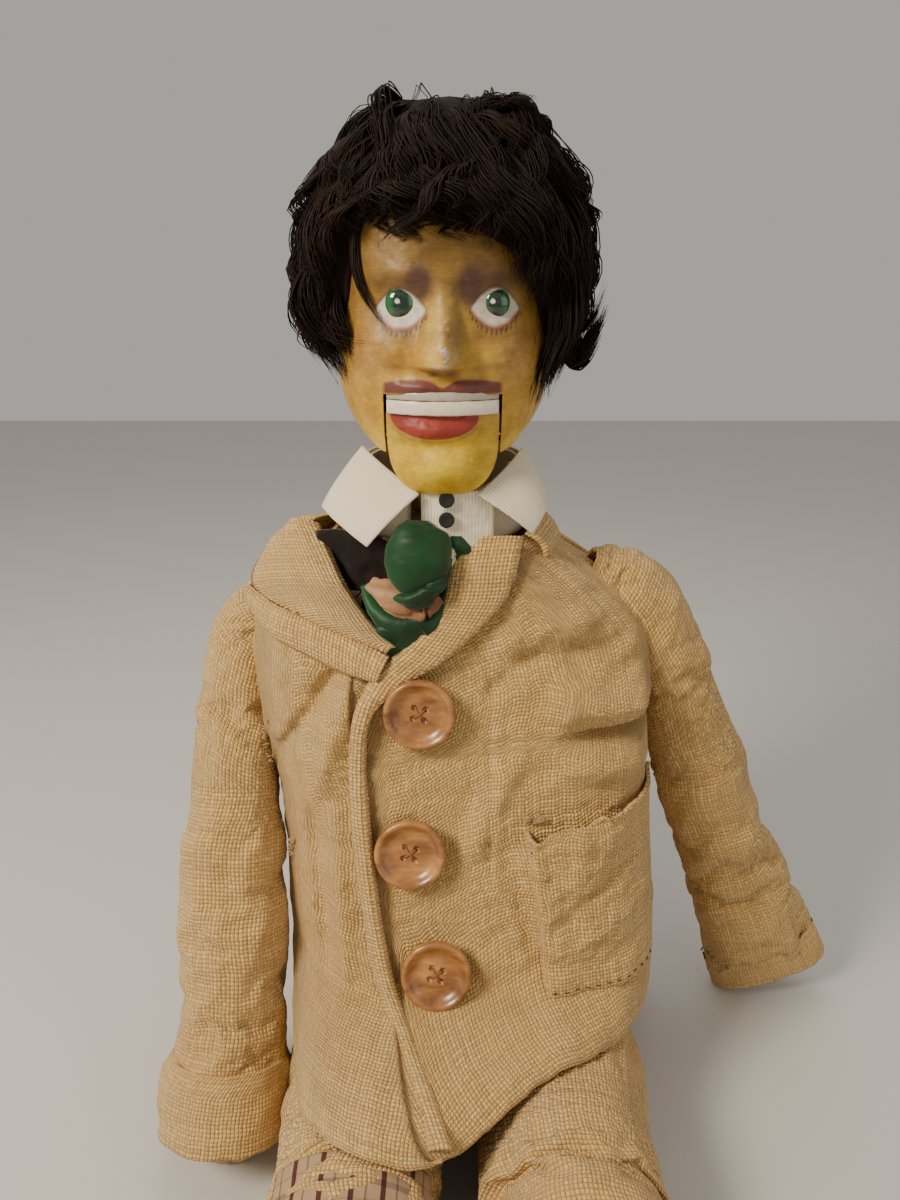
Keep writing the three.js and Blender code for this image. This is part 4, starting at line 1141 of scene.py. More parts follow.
def sheet_length(surface, steps=24):
    """How long a surface is along its middle line, in metres."""
    points = [surface(0.5, i / steps) for i in range(steps + 1)]
    return sum((b - a).length for a, b in zip(points, points[1:])) * MM


def declare_sheet(surface):
    """Works out how long a cloth is along its middle line; the length is kept nowhere.
    Declares a cloth as a flat rectangle of the area and length that its own mesh has.
    """
    tall = sheet_length(surface)


def sew_seam(name, points, body, colour=None, stitch=5.0, gap=2.6, radius=0.45):
    """A row of hand stitches along points in millimetres, each one lying on the cloth."""
    stitches_points, stitches_faces = [], []
    walked, next_start = 0.0, 0.0
    for a, b in zip(points, points[1:]):
        length = (b - a).length
        while next_start < walked + length:
            t = (next_start - walked) / max(length, 1e-6)
            start = a.lerp(b, t)
            direction = (b - a).normalized()
            end = start + direction * stitch
            lift = Vector((0, -0.7, 0.2))
            path = [start, start + direction * stitch * 0.25 + lift,
                    start + direction * stitch * 0.75 + lift, end]
            more, quads = tube_parts(path, [radius] * 4, 5, len(stitches_points))
            base = len(stitches_points)
            stitches_points += more
            stitches_faces += quads
            stitches_faces.append(tuple(reversed(range(base, base + 5))))
            stitches_faces.append(tuple(range(base + 15, base + 20)))
            next_start += stitch + gap
        walked += length
    seam = add_mesh(name, stitches_points, stitches_faces)
    return dress(seam, colour or DARK_THREAD, body)


def curve_through(points, steps):
    """Points along a smooth curve through the given places."""
    places = [i / (len(points) - 1) for i in range(len(points))]
    axes = [profile(list(zip(places, values))) for values in zip(*points)]
    return [Vector([axis(i / steps) for axis in axes]) for i in range(steps + 1)]


def cloth_band(name, first, second, steps, thickness, camber, outward):
    """A thick soft band of cloth between two curves, with rolled edges."""
    across = 14
    left, right = curve_through(first, steps), curve_through(second, steps)
    ring = 2 * across
    points, faces, uvs = [], [], []
    walked = 0.0
    for i in range(steps + 1):
        a, b = left[i], right[i]
        width = (b - a).length
        if i:
            walked += ((a + b) / 2 - (left[i - 1] + right[i - 1]) / 2).length
        nearby = (left[min(i + 1, steps)] + right[min(i + 1, steps)] - left[max(i - 1, 0)]
                  - right[max(i - 1, 0)]).normalized()
        normal = nearby.cross(b - a).normalized()
        if normal.dot(Vector(outward)) < 0:
            normal.negate()
        for k in range(ring):
            over = k < across
            f = k / across if over else 2 - k / across
            body = (1 - abs(2 * f - 1) ** 4) ** 0.5
            height = camber * math.sin(math.pi * f) + (thickness * body if over else -0.6 * body)
            ripple = 0.9 * rough(walked * 0.7, f * width, 4, 13) * (1.0 if over else 0.0)
            points.append(a.lerp(b, f) + normal * (height + ripple))
            uvs.append((f * width * MM, walked * MM))
    for i in range(steps):
        for k in range(ring):
            a, b = i * ring + k, i * ring + (k + 1) % ring
            faces.append((a, b, b + ring, a + ring))
    faces.append(tuple(reversed(range(ring))))
    faces.append(tuple(range(steps * ring, (steps + 1) * ring)))
    obj = add_mesh(name, points, faces)
    layer = obj.data.uv_layers.new(name="cloth")
    for loop in obj.data.loops:
        layer.data[loop.index].uv = uvs[loop.vertex_index]
    return obj


def ragged_hole(obj, centre, radius, depth, seed):
    """Cuts an uneven hole through a cloth near a place, along -Y."""
    count = 22
    points = []
    for y in (centre[1] - depth, centre[1] + depth):
        for k in range(count):
            angle = 2 * math.pi * k / count
            reach = 1 + 0.35 * rough(math.cos(angle) * 9, seed * 17, math.sin(angle) * 9, 5)
            points.append((centre[0] + radius[0] * reach * math.cos(angle), y,
                           centre[2] + radius[1] * reach * math.sin(angle)))
    faces = [(k, (k + 1) % count, count + (k + 1) % count, count + k) for k in range(count)]
    faces += [tuple(reversed(range(count))), tuple(range(count, 2 * count))]
    return cut_with(obj, add_mesh("hole", points, faces, False))


def fray(name, centre, radius, body, count=30, length=5.0, material=None):
    """Loose yarn ends round a hole or along an edge."""
    points, faces = [], []
    for n in range(count):
        angle = rng.uniform(0, 2 * math.pi)
        start = Vector((centre[0] + radius[0] * math.cos(angle), centre[1] - 0.5,
                        centre[2] + radius[1] * math.sin(angle)))
        inward = Vector((-math.cos(angle), rng.uniform(-0.5, 0.1),
                         -math.sin(angle) + rng.uniform(-0.6, 0.3))).normalized()
        reach = length * rng.uniform(0.4, 1.0)
        path = [start + inward * reach * t
                + Vector((0.8 * math.sin(5 * t + n), 0, 0.6 * math.cos(4 * t + n)))
                for t in (0, 0.35, 0.7, 1)]
        base = len(points)
        more, quads = tube_parts(path, [0.5, 0.45, 0.35, 0.1], 4, base)
        points += more
        faces += quads + [tuple(reversed(range(base, base + 4))), tuple(range(base + 12, base + 16))]
    return dress(add_mesh(name, points, faces), material or PALE_THREAD, body)


def make_jacket_panels():
    def left(u, v):
        return coat_point(lerp(overlap_angle(v) - 4, 100, u), v, -1.5)

    def right(u, v):
        angle = lerp(-100, overlap_angle(v) + 2, u)
        return coat_point(angle, v, 2.4 * smooth(-60, -30, angle))

    panel = cloth_panel("jacket_left_cloth", left, 190, 190)
    ragged_hole(panel, (55, coat_y(55, 230), 231), (6, 2.6), 14, 1)
    ragged_hole(panel, (63, coat_y(63, 233), 235), (3.4, 1.6), 14, 2)
    ragged_hole(panel, (49, coat_y(49, 223), 222), (1.6, 3.0), 14, 3)
    dress(panel, TWEED, None, ["jacket_front_left", "jacket_pocket"])
    declare_sheet(left)
    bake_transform(panel)

    panel = cloth_panel("jacket_right_cloth", right, 120, 190)
    ragged_hole(panel, (-98, coat_y(-98, 196) - 2, 196), (3.6, 8.0), 26, 4)
    ragged_hole(panel, (-112, coat_y(-112, 266) - 2, 268), (3.6, 17.0), 30, 5)
    dress(panel, TWEED, None, ["jacket_front_right"])
    declare_sheet(right)
    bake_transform(panel)

    fray("side_fray", (-98, coat_y(-98, 196), 196), (4.2, 8.6), "torso", 40, 5.5)
    fray("armhole_fray", (-112, coat_y(-112, 268), 268), (4.2, 17.0), "torso", 30, 4.0)

    def back(u, v):
        angle = lerp(96, 264, u)
        return coat_point(angle if angle <= 180 else angle - 360, v)

    panel = cloth_panel("jacket_back_cloth", back, 110, 110)
    cut_with(panel, block((-32, 30, 156), (32, 120, 284)))
    dress(panel, TWEED, "torso", ["jacket_back"])
    declare_sheet(back)


def make_lapels():
    """The collar and the turned front edge, from the neck down to the lap."""
    def on_front(x, z, out=0.0):
        return (x, coat_y(x, z, out), z)

    free_edge = [(49, -53, 401), (45, -62, 384), (35, -68, 362), (5, -78, 334), on_front(-26, 314, 6),
                 on_front(-43, 298, 7), on_front(-47, 270, 5), on_front(-45, 235, 5),
                 on_front(-41, 195, 5), on_front(-36, 160, 5), (-27, -134, 128), (-10, -172, 112),
                 (6, -216, 102)]
    inner_edge = [(6, -50, 399), (2, -60, 380), (-3, -67, 362), (-22, -76, 342), on_front(-42, 322, 3),
                  on_front(-54, 300, 2), on_front(-58, 270, 2), on_front(-57, 235, 2),
                  on_front(-53, 195, 2), on_front(-48, 160, 2), (-40, -130, 128), (-24, -170, 111),
                  (-8, -216, 101)]
    band = cloth_band("lapel_band", inner_edge, free_edge, 220, 3.4, 1.5, (0, -1, 0.3))
    dress(band, TWEED, None, ["lapel_left"])
    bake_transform(band)
    stitch_line = [a.lerp(b, 0.86) + Vector((0, -5.2, 0.6))
                   for a, b in zip(curve_through(inner_edge, 60), curve_through(free_edge, 60))]
    sew_seam("lapel_stitches", stitch_line[:44], "torso", PALE_THREAD, 2.6, 2.4, 0.4)

    right_inner = [(-78, -20, 400), (-70, -36, 388), (-58, -54, 370), (-44, -68, 354), (-28, -77, 339)]
    right_outer = [(-98, -12, 400), (-116, -14, 382), (-122, -30, 362), (-88, -60, 352), (-34, -80, 336)]
    collar = cloth_band("collar_right_band", right_inner, right_outer, 110, 3.4, 5.0, (-0.4, -1, 0.8))
    dress(collar, TWEED, "torso", ["jacket_collar"])
    low_inner = [(-124, -26, 362), (-104, -48, 357), (-82, -60, 353), (-58, -70, 346), (-32, -80, 335)]
    low_outer = [(-124, -34, 350), (-106, -56, 338), (-84, -69, 331), (-60, -77, 322), (-40, -83, 318)]
    lapel = cloth_band("lapel_right_band", low_inner, low_outer, 110, 2.6, 2.5, (-0.3, -1, 0.4))
    dress(lapel, TWEED, "torso")
    seam = [p + Vector((0, -4.0, 1.0)) for p in curve_through(low_inner, 60)]
    sew_seam("collar_seam", seam[12:52], "torso", DARK_THREAD, 2.0, 5.5, 0.35)

    behind = []
    for radius_x, radius_y, height in ((76, 68, 376), (62, 58, 402)):
        edge = []
        for i in range(9):
            angle = math.radians(lerp(66, 286, i / 8))
            edge.append((radius_x * math.sin(angle), -radius_y * math.cos(angle), height))
        behind.append(edge)
    behind[1][0], behind[0][0] = (49, -50, 402), (62, -46, 384)
    behind[1][-1], behind[0][-1] = (-82, -16, 402), (-106, -12, 388)
    roll = cloth_band("collar_back_band", behind[1], behind[0], 120, 3.2, 4.0, (0, 1, 1))
    dress(roll, TWEED, "torso")


def make_pocket():
    """A pocket flap bulging over the left side, torn at its top corner."""
    def surface(u, v):
        x = lerp(50 + 14 * (1 - v), 141, u)
        z = lerp(125, 223 + 12 * math.sin(math.pi * min(u, 0.8) * 0.7), v) - 4 * u * (1 - v)
        if v > 0.9:
            z += (2.6 * rough(x, 1, 3, 5) - 7 * bell(u - 0.10, 0.05)) * smooth(0.9, 1.0, v)
        bulge = 4.5 + 9.0 * math.sin(math.pi * clamp(u * 0.9 + 0.05)) * smooth(0.35, 1.0, v)
        bulge += 2.2 * rough(x, 31, z, 22) * smooth(0, 0.3, v)
        return Vector((x, coat_y(x, z, bulge * smooth(0, 0.06, u) * smooth(1, 0.94, u) + 0.8), z))

    pocket = cloth_panel("jacket_pocket_cloth", surface, 90, 100, 2.4)
    dress(pocket, TWEED, "torso")
    declare_sheet(surface)
    rim = [surface(u / 40, 0.995) + Vector((0, -0.6, 0)) for u in range(41)]
    sew_seam("pocket_rim_stitches", rim[22:40], "torso", PALE_THREAD, 3.0, 2.0, 0.5)
    base = [surface(0.06 + 0.9 * i / 40, 0.03) + Vector((0, -0.6, 0)) for i in range(41)]
    sew_seam("pocket_base_stitches", base, "torso", DARK_THREAD, 2.6, 5.0, 0.38)
    tack = [Vector((x, coat_y(x, z, 5.2), z))
            for x, z in ((54, 214), (58, 212.5), (63, 212), (70, 213.5))]
    path = curve_through(tack, 20)
    thread = tube("pocket_red_thread", path, [0.55] * 21, 6)
    dress(thread, DARK_THREAD, "torso")
    fray("pocket_fray", (56, coat_y(56, 230), 231), (7, 3.5), "torso", 34, 6)


def make_buttons():
    """Three big horn buttons: a rounded rim round a dish, with a raised eye of four holes."""
    outline = [(0, 1.7), (6.8, 1.8), (8.4, 1.2), (12.5, 1.1), (15.2, 2.0), (17.2, 4.2), (18.8, 6.0),
               (20.2, 6.4), (21.4, 5.4),
               (22.0, 3.4), (21.4, 1.2), (19.0, 0.0), (0, -0.4)]
    for name, x, z, tip, lift in (("top", -14.5, 300, 10, 4.5), ("middle", -20.5, 215, 15, 4.5),
                                  ("bottom", -4.5, 141, 18, 6)):
        tilt = math.radians(tip)
        centre = Vector((x, coat_y(x, z, lift), z))
        button = lathe("horn_button_" + name, outline, 72, centre, tilt)
        turn = rng.uniform(0.5, 0.9)
        for k in range(4):
            angle = turn + math.pi / 2 * k
            spot = tipped(5.0 * math.cos(angle), 0, 5.0 * math.sin(angle), tilt)
            hole = lathe("hole", [(0, 9), (1.9, 9), (1.9, 0.2), (0, 0.2)], 16, centre + spot, tilt)
            cut_with(button, hole)
        dress(button, HORN, "torso", ["coat_button_" + name])
        for k in range(2):
            angle = turn + math.pi / 2 * k
            ends = []
            for reach in (-4.4, -3.2, 0, 3.2, 4.4):
                out = 0.6 if abs(reach) == 4.4 else 2.2
                ends.append(centre + tipped(reach * math.cos(angle), out, reach * math.sin(angle), tilt))
            dress(tube("button_thread_" + name + str(k), ends, [0.6] * 5, 8), BUTTON_THREAD,
                  "torso")


# ---------------------------------------------------------------- arms and legs
SHOULDERS = {"right": Vector((-136, -10, 322)), "left": Vector((130, -10, 346))}
CUFFS = {"right": Vector((-143, -141, 14)), "left": Vector((262, 15, 22))}
ARM_PATHS = {
    "right": [(-108, -12, 352), (-122, -12, 338), (-132, -14, 318), (-136, -26, 286), (-139, -50, 230),
              (-140, -73, 176), (-139, -98, 118), (-141, -119, 66), (-143, -136, 26)],
    "left": [(92, -11, 366), (108, -11, 358), (128, -10, 342), (148, -7, 306), (170, -3, 250),
             (192, 2, 194), (222, 7, 118), (246, 12, 60), (262, 15, 20)],
}
ARM_WIDE = {"right": [12, 19, 22, 24.5, 28.5, 31.5, 32.5, 33, 34],
            "left": [16, 24, 27, 28.5, 29.5, 31.5, 36, 42, 46]}
ARM_THICK = {"right": [12, 19, 22, 24.5, 28, 31, 32, 32, 33],
             "left": [16, 23, 26, 28, 29, 30, 27, 22, 17]}


def tube_surface(path, wide, thick, side_hint, wrinkle):
    """A cloth tube about a path: u goes round, v along; wrinkle(angle, v) adds to its radius."""
    count = len(path) - 1
    places = [i / count for i in range(count + 1)]
    axes = [profile(list(zip(places, values))) for values in zip(*path)]
    wide_at = profile(list(zip(places, wide)))
    thick_at = profile(list(zip(places, thick)))

    def surface(u, v):
        here = Vector([axis(v) for axis in axes])
        along = (Vector([axis(min(v + 0.02, 1)) for axis in axes])
                 - Vector([axis(max(v - 0.02, 0)) for axis in axes])).normalized()
        side = (side_hint - along * side_hint.dot(along)).normalized()
        up = along.cross(side)
        angle = 2 * math.pi * u
        grow = wrinkle(angle, v)
        return (here + side * (wide_at(v) + grow) * math.cos(angle)
                + up * (thick_at(v) + grow) * math.sin(angle))

    return surface


def sleeve_wrinkles(seed, bunch_at):
    def wrinkle(angle, v):
        rings = math.sin(v * 46 + 1.4 * math.sin(angle + seed)
                         + 2.2 * rough(math.cos(angle) * 20, seed * 31, v * 90, 30))
        out = 0.9 * rings * (0.35 + bell(v - bunch_at, 0.12))
        out += 1.9 * rough(math.cos(angle) * 26, math.sin(angle) * 26 + seed * 50, v * 210, 30)
        out += 0.8 * rough(math.cos(angle) * 26, math.sin(angle) * 26 + seed * 90, v * 300, 11)
        return out
    return wrinkle


def crumple(obj, nv, grow=0.07, frames=14, most=9.0):
    """Lets a tube of cloth that is a little too big for its place wrinkle, held at both its ends."""
    before = [vertex.co.copy() for vertex in obj.data.vertices]
    group = obj.vertex_groups.new(name="held")
    row = nv + 1
    for index in range(len(before)):
        near_end = min(index % row, nv - index % row) / nv
        group.add([index], max(0.02, smooth(0.16, 0.0, near_end)), "REPLACE")
    cloth = obj.modifiers.new("cloth", "CLOTH")
    cloth.settings.quality = 5
    cloth.settings.mass = 0.15
    cloth.settings.tension_stiffness = cloth.settings.compression_stiffness = 12
    cloth.settings.shear_stiffness = 4
    cloth.settings.bending_stiffness = 1.2
    cloth.settings.air_damping = 3
    cloth.settings.effector_weights.gravity = 0
    cloth.settings.vertex_group_mass = "held"
    cloth.settings.pin_stiffness = 1.5
    cloth.settings.shrink_min = cloth.settings.shrink_max = -grow
    cloth.point_cache.frame_start = 1
    cloth.point_cache.frame_end = frames
    for step in range(1, frames + 1):
        bpy.context.scene.frame_set(step)
    settled = obj.evaluated_get(bpy.context.evaluated_depsgraph_get()).data
    after = [vertex.co.copy() for vertex in settled.vertices]
    obj.modifiers.remove(cloth)
    bpy.context.scene.frame_set(1)
    obj.vertex_groups.clear()
    for index, (vertex, start, end) in enumerate(zip(obj.data.vertices, before, after)):
        move = end - start
        near_end = min(index % row, nv - index % row) / nv
        reach = most * MM * smooth(0.0, 0.12, near_end)
        vertex.co = start + (move * min(1.0, reach / move.length) if move.length > 1e-9 else move)


def cloth_tube(name, surface, low, high, nu, nv, thickness=2.6):
    """Part of a cloth tube between two shares of its path, open at both ends."""
    def part(u, v):
        return surface(u, lerp(low, high, v))

    obj = ring_mesh(name, part, nu, nv)
    set_uv(obj, nu, nv)
    crumple(obj, nv)
    thicken(obj, thickness)
    return settle(obj)


def make_sleeve(side):
    seed = 1 if side == "right" else 2
    surface = tube_surface(ARM_PATHS[side], ARM_WIDE[side], ARM_THICK[side], Vector((1, 0, 0.15)),
                           sleeve_wrinkles(seed, 0.62))
    upper, forearm = "upper_arm_%s_body" % side, "forearm_%s_body" % side
    piece = cloth_tube("sleeve_%s_upper_cloth" % side, surface, 0.0, 0.5, 80, 110)
    dress(piece, TWEED, None, ["sleeve_upper_" + side])
    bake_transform(piece)
    piece = cloth_tube("sleeve_%s_lower_cloth" % side, surface, 0.497, 1.0, 80, 110)
    dress(piece, TWEED, None, ["sleeve_lower_" + side])
    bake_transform(piece)
    make_cuff(side, surface, forearm)


def make_cuff(side, surface, body):
    """The sleeve's end: turned back on the right, flat with a stitched hem on the left."""
    turned = side == "right"

    def cuff(u, v):
        base_v = lerp(0.865, 1.0, v) if turned else lerp(0.9, 1.0, v)
        point = surface(u, base_v)
        centre = (surface(0, base_v) + surface(0.5, base_v)) / 2
        out = point - centre
        grow = (9.0 + 1.8 * rough(u * 60, 2, v * 20, 14)) if turned else 1.2
        grow *= smooth(-0.2, 0.25, v) * (1 if turned else smooth(-0.1, 0.2, v))
        return point + out.normalized() * grow

    nu, nv = 90, 34
    obj = ring_mesh("sleeve_%s_cuff_cloth" % side, cuff, nu, nv)
    set_uv(obj, nu, nv)
    thicken(obj, 5.0 if turned else 2.6)
    settle(obj)
    dress(obj, TWEED, body, ["sleeve_cuff_" + side])
    if not turned:
        line = [cuff(1.0 - 0.5 * i / 40, 0.05) for i in range(41)]
        centre = (cuff(0, 0.05) + cuff(0.5, 0.05)) / 2
        line = [p + (p - centre).normalized() * 0.9 for p in line]
        sew_seam("cuff_stitches", line, body, BLACK, 7.0, 2.0, 0.6)
    make_hand(side, body)


def make_hand(side, body):
    """A simple moulded hand with grooved fingers, mostly up its sleeve."""
    shoulder, cuff = SHOULDERS[side], CUFFS[side]
    along = (cuff - shoulder).normalized()
    start = cuff - along * (50 if side == "right" else 58)
    sideways = (Vector((1, 0, 0)) - along * along.x).normalized()
    thick = along.cross(sideways)
    wide_at = profile([(0, 10), (0.3, 13), (0.5, 21), (0.8, 22), (0.94, 18), (1, 12)])
    thick_at = profile([(0, 9), (0.3, 10), (0.55, 11), (0.85, 9), (1, 4)])
    length = 60 if side == "right" else 46

    def surface(u, v):
        angle = 2 * math.pi * u
        wide = wide_at(v)
        across = math.cos(angle) * wide
        groove = (smooth(0.5, 0.7, v) * 1.8
                  * max(0.0, math.cos(across / 44 * 2 * math.pi * 4 + math.pi)) ** 4)
        return (start + along * (length * v) + sideways * across
                + thick * math.sin(angle) * (thick_at(v) - groove))

    hand = ring_mesh("hand_%s_painted" % side, surface, 72, 50, True)
    paint(hand, lambda x, y, z: Vector((0.52, 0.36, 0.16)))
    dress(hand, HEAD_PAINT, body, ["hand_" + side])


LEGS = {"right": (-50.0, 47.0), "left": (75.0, 50.0)}
LEG_Z = 52.0


def make_leg(side):
    x, radius = LEGS[side]
    seed = 5 if side == "right" else 6
    thigh, shin = "thigh_%s_body" % side, "shin_%s_body" % side
    ys = [-22, -50, -90, -140, -200, -238, -290, -350, -414]
    wide = [r * radius for r in (0.8, 1.02, 1.06, 1.08, 1.03, 0.98, 0.94, 0.92, 0.90)]
    thick = [r * radius for r in (0.62, 0.90, 0.96, 0.98, 0.97, 0.95, 0.93, 0.91, 0.89)]
    path = [(x, y, LEG_Z) for y in ys]

    def wrinkle(angle, v):
        out = (1.6
               * math.sin(v * 40 + 1.8 * math.sin(angle)
                          + 2 * rough(math.cos(angle) * 20, seed * 31, v * 90, 30))
                          * (0.3 + bell(v - 0.12, 0.12) + bell(v - 0.6, 0.08)))
        return out + 2.4 * rough(math.cos(angle) * 26, math.sin(angle) * 26 + seed * 50, v * 260, 34)

    surface = tube_surface(path, wide, thick, Vector((1, 0, 0)), wrinkle)

    def above_floor(u, v):
        point = surface(u, v)
        point.z = max(point.z, 2.0 + 0.4 * math.sin(point.x))
        return point

    piece = cloth_tube("trouser_%s_thigh_cloth" % side, above_floor, 0.0, 0.45, 84, 84)
    dress(piece, TWEED, None, ["trouser_thigh_" + side])
    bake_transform(piece)
    piece = cloth_tube("trouser_%s_shin_cloth" % side, above_floor, 0.447, 1.0, 84, 96)
    dress(piece, TWEED, None, ["trouser_shin_" + side])
    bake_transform(piece)
    make_shoe(side, x, shin)


def make_shoe(side, x, body):
    """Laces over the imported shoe."""
    for row in range(4):
        y, z = -439, 62 + row * 9
        path = [Vector((x - 9, y - 3, z)), Vector((x - 4, y + 1.2, z + 1.5)),
                Vector((x + 4, y + 1.2, z + 3)), Vector((x + 9, y - 3, z + 4.5))]
        dress(tube("lace_%s_%d" % (side, row), path, [1.1] * 4, 8), BLACK, body)


def make_seat():
    def surface(u, v):
        angle = 2 * math.pi * u
        power = 2 / 3.4
        z = lerp(2, 112, v)
        inset = 5 * bell(v, 0.1) + 9 * smooth(0.85, 1.0, v)
        x = 21 + math.copysign(abs(math.cos(angle)) ** power, math.cos(angle)) * (101 - inset)
        y = 20 + math.copysign(abs(math.sin(angle)) ** power, math.sin(angle)) * (31 - inset)
        swell = 1.8 * rough(x, y, z, 30)
        return Vector((x + swell, y + swell, z))

    seat = ring_mesh("trouser_seat_cloth", surface, 120, 50, True)
    uv_from_place(seat, lambda place: (place.x + place.y, place.z))
    dress(seat, TWEED, "torso", ["trouser_seat"])


def make_lap_patch():
    """The plaid lining showing where the right thigh's cloth is turned."""
    def surface(u, v):
        x = lerp(-92, -6, u)
        y = lerp(-252, -214, v)
        lift = math.sqrt(max(1 - ((x + 50) / 52) ** 2, 0.0))
        return Vector((x, y, LEG_Z + 47.5 * lift + 1.5 + 1.0 * rough(x, y, 2, 20)))

    patch = cloth_panel("plaid_patch", surface, 60, 30, 1.6)
    dress(patch, PLAID, "thigh_right_body")
    declare_sheet(surface)


# ---------------------------------------------------------------- shirt, collar and cravat
def make_shirt():
    def wing(side):
        corners = {
            -1: [(-14, -64, 430), (-50, -20, 450), (-73, -37, 416), (-43, -70, 400)],
            1: [(20, -60, 428), (48, -18, 448), (60, -34, 420), (51, -56, 404)],
        }[side]
        top_in, top_out, low_out, tip = (Vector(c) for c in corners)

        def surface(u, v):
            upper = top_in.lerp(top_out, u)
            lower = tip.lerp(low_out, u)
            bow = (Vector((side * 3.0, -3.0, 2.5)) * math.sin(math.pi * u)
                   + Vector((side * 2, -5, 1)) * math.sin(math.pi * v * 0.8))
            return upper.lerp(lower, v) + bow + Vector((0, 0.5 * rough(u * 40, 1, v * 40, 20), 0))

        return surface

    for side, name in ((-1, "right"), (1, "left")):
        surface = wing(side)
        piece = cloth_panel("collar_wing_" + name, surface, 40, 30, 1.3)
        dress(piece, SHIRT, "torso", ["shirt_collar"] if side < 0 else ())
        declare_sheet(surface)

    def stand(u, v):
        angle = math.radians(lerp(24, 336, u))
        radius = lerp(52, 47, v)
        front = smooth(80, 20, min(math.degrees(angle), 360 - math.degrees(angle)))
        return Vector((radius * math.sin(angle), -radius * math.cos(angle),
                       lerp(396, lerp(440, 428, front), v)))

    piece = cloth_panel("collar_stand", stand, 90, 14, 1.3)
    dress(piece, SHIRT, "torso")
    declare_sheet(stand)

    def fall(u, v):
        angle = math.radians(lerp(52, 308, u))
        radius = lerp(48.5, 62, v)
        return Vector((radius * math.sin(angle), -radius * math.cos(angle),
                       lerp(441, 408, v) + 3 * math.sin(math.pi * v)))

    piece = cloth_panel("collar_fall", fall, 90, 14, 1.3)
    dress(piece, SHIRT, "torso")
    declare_sheet(fall)

    def front(u, v):
        x = lerp(-13, 30, u)
        z = lerp(372, 430, v)
        return Vector((x, -46 - 14 * (1 - (x / 44) ** 2) + 0.8 * rough(x, 2, z, 14) - 2.0 * bell(x, 5),
                       z))

    piece = cloth_panel("shirt_placket", front, 50, 50, 1.2)
    dress(piece, SHIRT, "torso", ["shirt_front"])
    declare_sheet(front)
    for z in (414, 426):
        disc = lathe("shirt_button_black",
                     [(0, 1.4), (2.8, 1.4), (3.8, 2.0), (4.6, 1.4), (4.6, 0), (0, 0)], 32, (2, -62.6, z),
                     0.0)
        dress(disc, BLACK, "torso", ["shirt_button"] if z == 414 else ())

    # The jacket's lining across the neck opening, made near-black as painted shade inside the jacket.
    def shaded_lining(u, v):
        x = lerp(-80, 46, u)
        z = lerp(318, 394 + 8 * bell(x + 60, 26), v)
        return Vector((x, -22 - 30 * (1 - ((x + 14) / 76) ** 2) + 4 * rough(x, 2, z, 22), z))

    piece = cloth_panel("jacket_lining_in_shade", shaded_lining, 60, 40, 1.6)
    dress(piece, silk_material("shaded_lining", (0.006, 0.003, 0.003), (0.018, 0.008, 0.006), 0.9),
          "torso")
    declare_sheet(shaded_lining)


def silk_fold(name, path, wide, thick, material, twist=0.0):
    """A soft fold of the cravat along a path."""
    surface = tube_surface(path, wide, thick, Vector((math.cos(twist), 0.2, math.sin(twist))),
                           lambda angle, v: 0.9 * math.sin(angle * 3 + v * 7)
                           + 0.6 * rough(math.cos(angle) * 9, math.sin(angle) * 9, v * 60, 9))
    obj = ring_mesh(name, surface, 40, 60, True)
    uv_from_place(obj, lambda place: (place.x, place.z))
    return dress(obj, material, "torso")


def make_cravat():
    knot = silk_fold("cravat_knot",
                     [(-15, -60, 412), (-15, -64, 405), (-14, -68, 394), (-13, -69, 383),
                      (-10, -66, 371)],
                     [7, 17, 20, 18, 11], [5, 11, 13, 12, 8], SILK, 0.1)
    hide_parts("cravat")
    silk_fold("cravat_wrap",
              [(-34, -62, 374), (-24, -74, 370), (-12, -77, 372), (-2, -73, 381), (2, -66, 392)],
              [3, 5.5, 6.5, 5.5, 3], [3, 4, 5, 4, 3], SILK, 0.8)
    silk_fold("cravat_tan_fold", [(-44, -60, 374), (-34, -69, 371), (-22, -74, 367), (-10, -72, 368)],
              [4, 8, 7, 3], [2, 3.5, 3.5, 2], SILK_TAN, 0.5)
    silk_fold("cravat_tan_low", [(-40, -62, 362), (-26, -71, 359), (-12, -73, 361), (-2, -69, 368)],
              [3, 6, 6, 3], [2, 4, 4, 2], SILK_TAN, 0.4)
    silk_fold("cravat_low_fold",
              [(-46, -56, 372), (-38, -66, 358), (-22, -72, 350), (-6, -68, 356), (4, -60, 372)],
              [4, 8, 11, 9, 4], [3, 6, 8, 6, 3], SILK, 0.4)
    silk_fold("cravat_tail", [(-20, -66, 356), (-22, -72, 346), (-26, -73, 336), (-28, -70, 326)],
              [14, 19, 14, 7], [5, 6, 5, 3], SILK, 0.0)
    silk_fold("cravat_loop", [(2, -58, 404), (8, -58, 400), (12, -56, 392), (8, -56, 384)], [4, 6, 6, 3],
              [3, 4, 4, 2], SILK, 0.6)


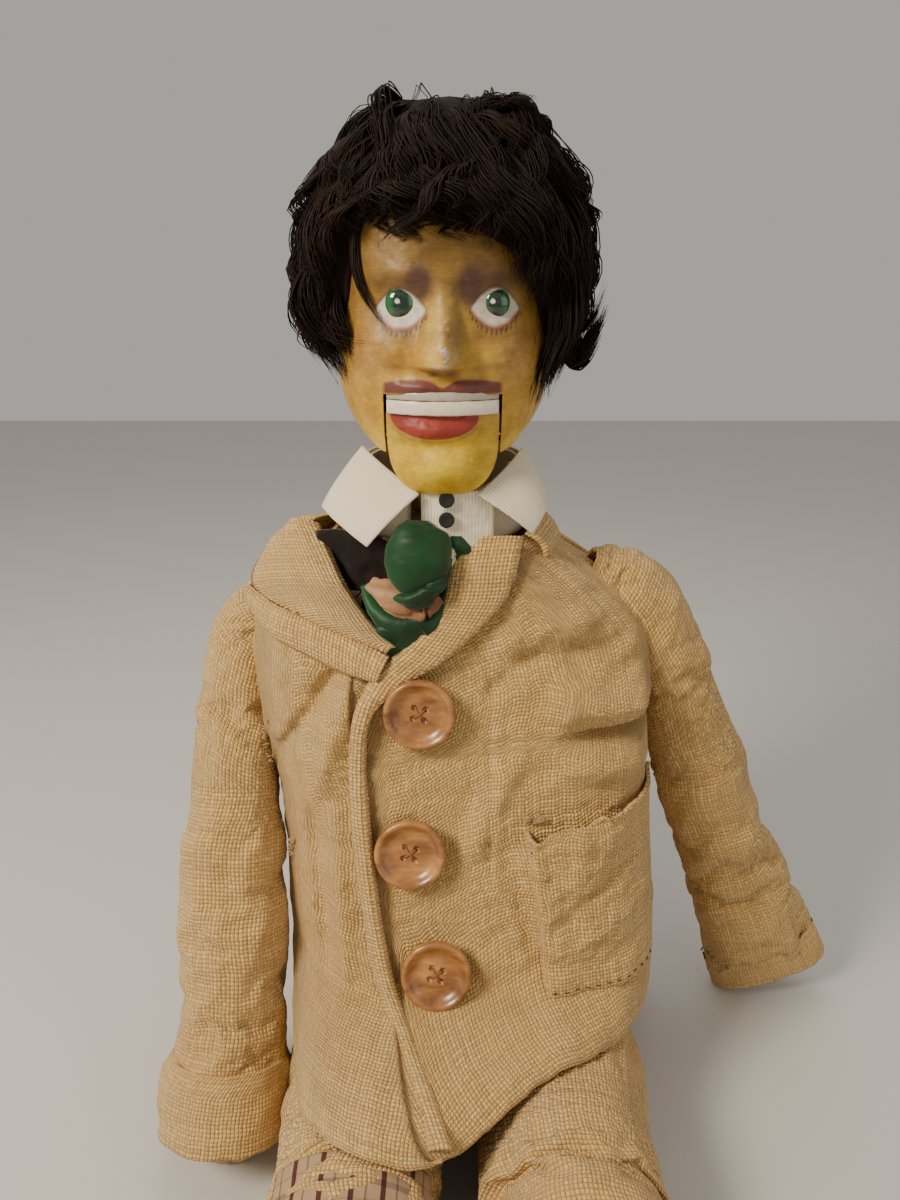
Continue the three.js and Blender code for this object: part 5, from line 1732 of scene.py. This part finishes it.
# ---------------------------------------------------------------- camera, light, floor
def make_stage():
    camera_data = bpy.data.cameras.new("camera")
    camera_data.sensor_fit = "HORIZONTAL"
    camera_data.sensor_width = 36.0
    camera_data.lens = 36.04
    camera = bpy.data.objects.new("camera", camera_data)
    bpy.context.scene.collection.objects.link(camera)
    camera.location = (0.004, -0.573, 0.550)
    camera.rotation_euler = (math.radians(70), 0, 0)
    bpy.context.scene.camera = camera
    world = bpy.data.worlds.new("studio")
    world.use_nodes = True
    world.node_tree.nodes["Background"].inputs["Color"].default_value = (1.0, 0.95, 0.88, 1)
    world.node_tree.nodes["Background"].inputs["Strength"].default_value = 0.44
    bpy.context.scene.world = world
    for name, place, aim, size, power, tint in (
        ("key", (-0.95, -0.80, 1.25), (0, -0.05, 0.33), 0.45, 25.0, (1.0, 0.90, 0.74)),
        ("fill", (1.1, -0.9, 0.7), (0.05, -0.05, 0.3), 1.0, 2.6, (1.0, 0.93, 0.86)),
        ("top", (0.0, 0.4, 1.5), (0, 0, 0.4), 1.0, 5.0, (0.95, 0.97, 1.0)),
    ):
        data = bpy.data.lights.new(name, "AREA")
        data.size = size
        data.energy = power
        data.color = tint
        light = bpy.data.objects.new(name, data)
        light.location = place
        light.rotation_euler = (Vector(aim) - Vector(place)).to_track_quat("-Z", "Y").to_euler()
        bpy.context.scene.collection.objects.link(light)
    floor = add_mesh("floor",
                     [(-3000, -3000, -0.5), (3000, -3000, -0.5), (3000, 3000, -0.5), (-3000, 3000, -0.5)],
                     [(0, 1, 2, 3)])
    pale = Nodes("pale_floor", 0.8)
    pale.colour((0.62, 0.60, 0.56, 1))
    floor.data.materials.append(pale.material)


make_stage()
make_head()
make_jaw()
for side in SIDES:
    make_eye(side)
make_wig()
make_jacket_panels()
make_lapels()
make_pocket()
make_buttons()
make_shirt()
make_cravat()
make_seat()
make_lap_patch()
for side in SIDES:
    make_sleeve(side)
    make_leg(side)

NODE_MATERIALS = {
    "painted_head": WOOD, "varnished_wood": VARNISHED, "plain_wood": WOOD, "glass_eye": GLASS_EYE,
    "wig_hair": HAIR, "tooth_paint": ENAMEL, "steel": STEEL, "cord": CORD, "leather_lining": LINING,
    "shirt_cotton": SHIRT, "black_button": BLACK, "silk": SILK, "tweed": TWEED, "horn": HORN,
    "painted_hand": WOOD, "sock_knit": KNIT, "shoe_leather": SHOE, "sole_leather": SOLE,
}
for part in frame["record"]["subparts"]:
    node = frame["nodes"][part["node"]]
    node.data.materials.clear()
    node.data.materials.append(NODE_MATERIALS[part["material_slot"]])
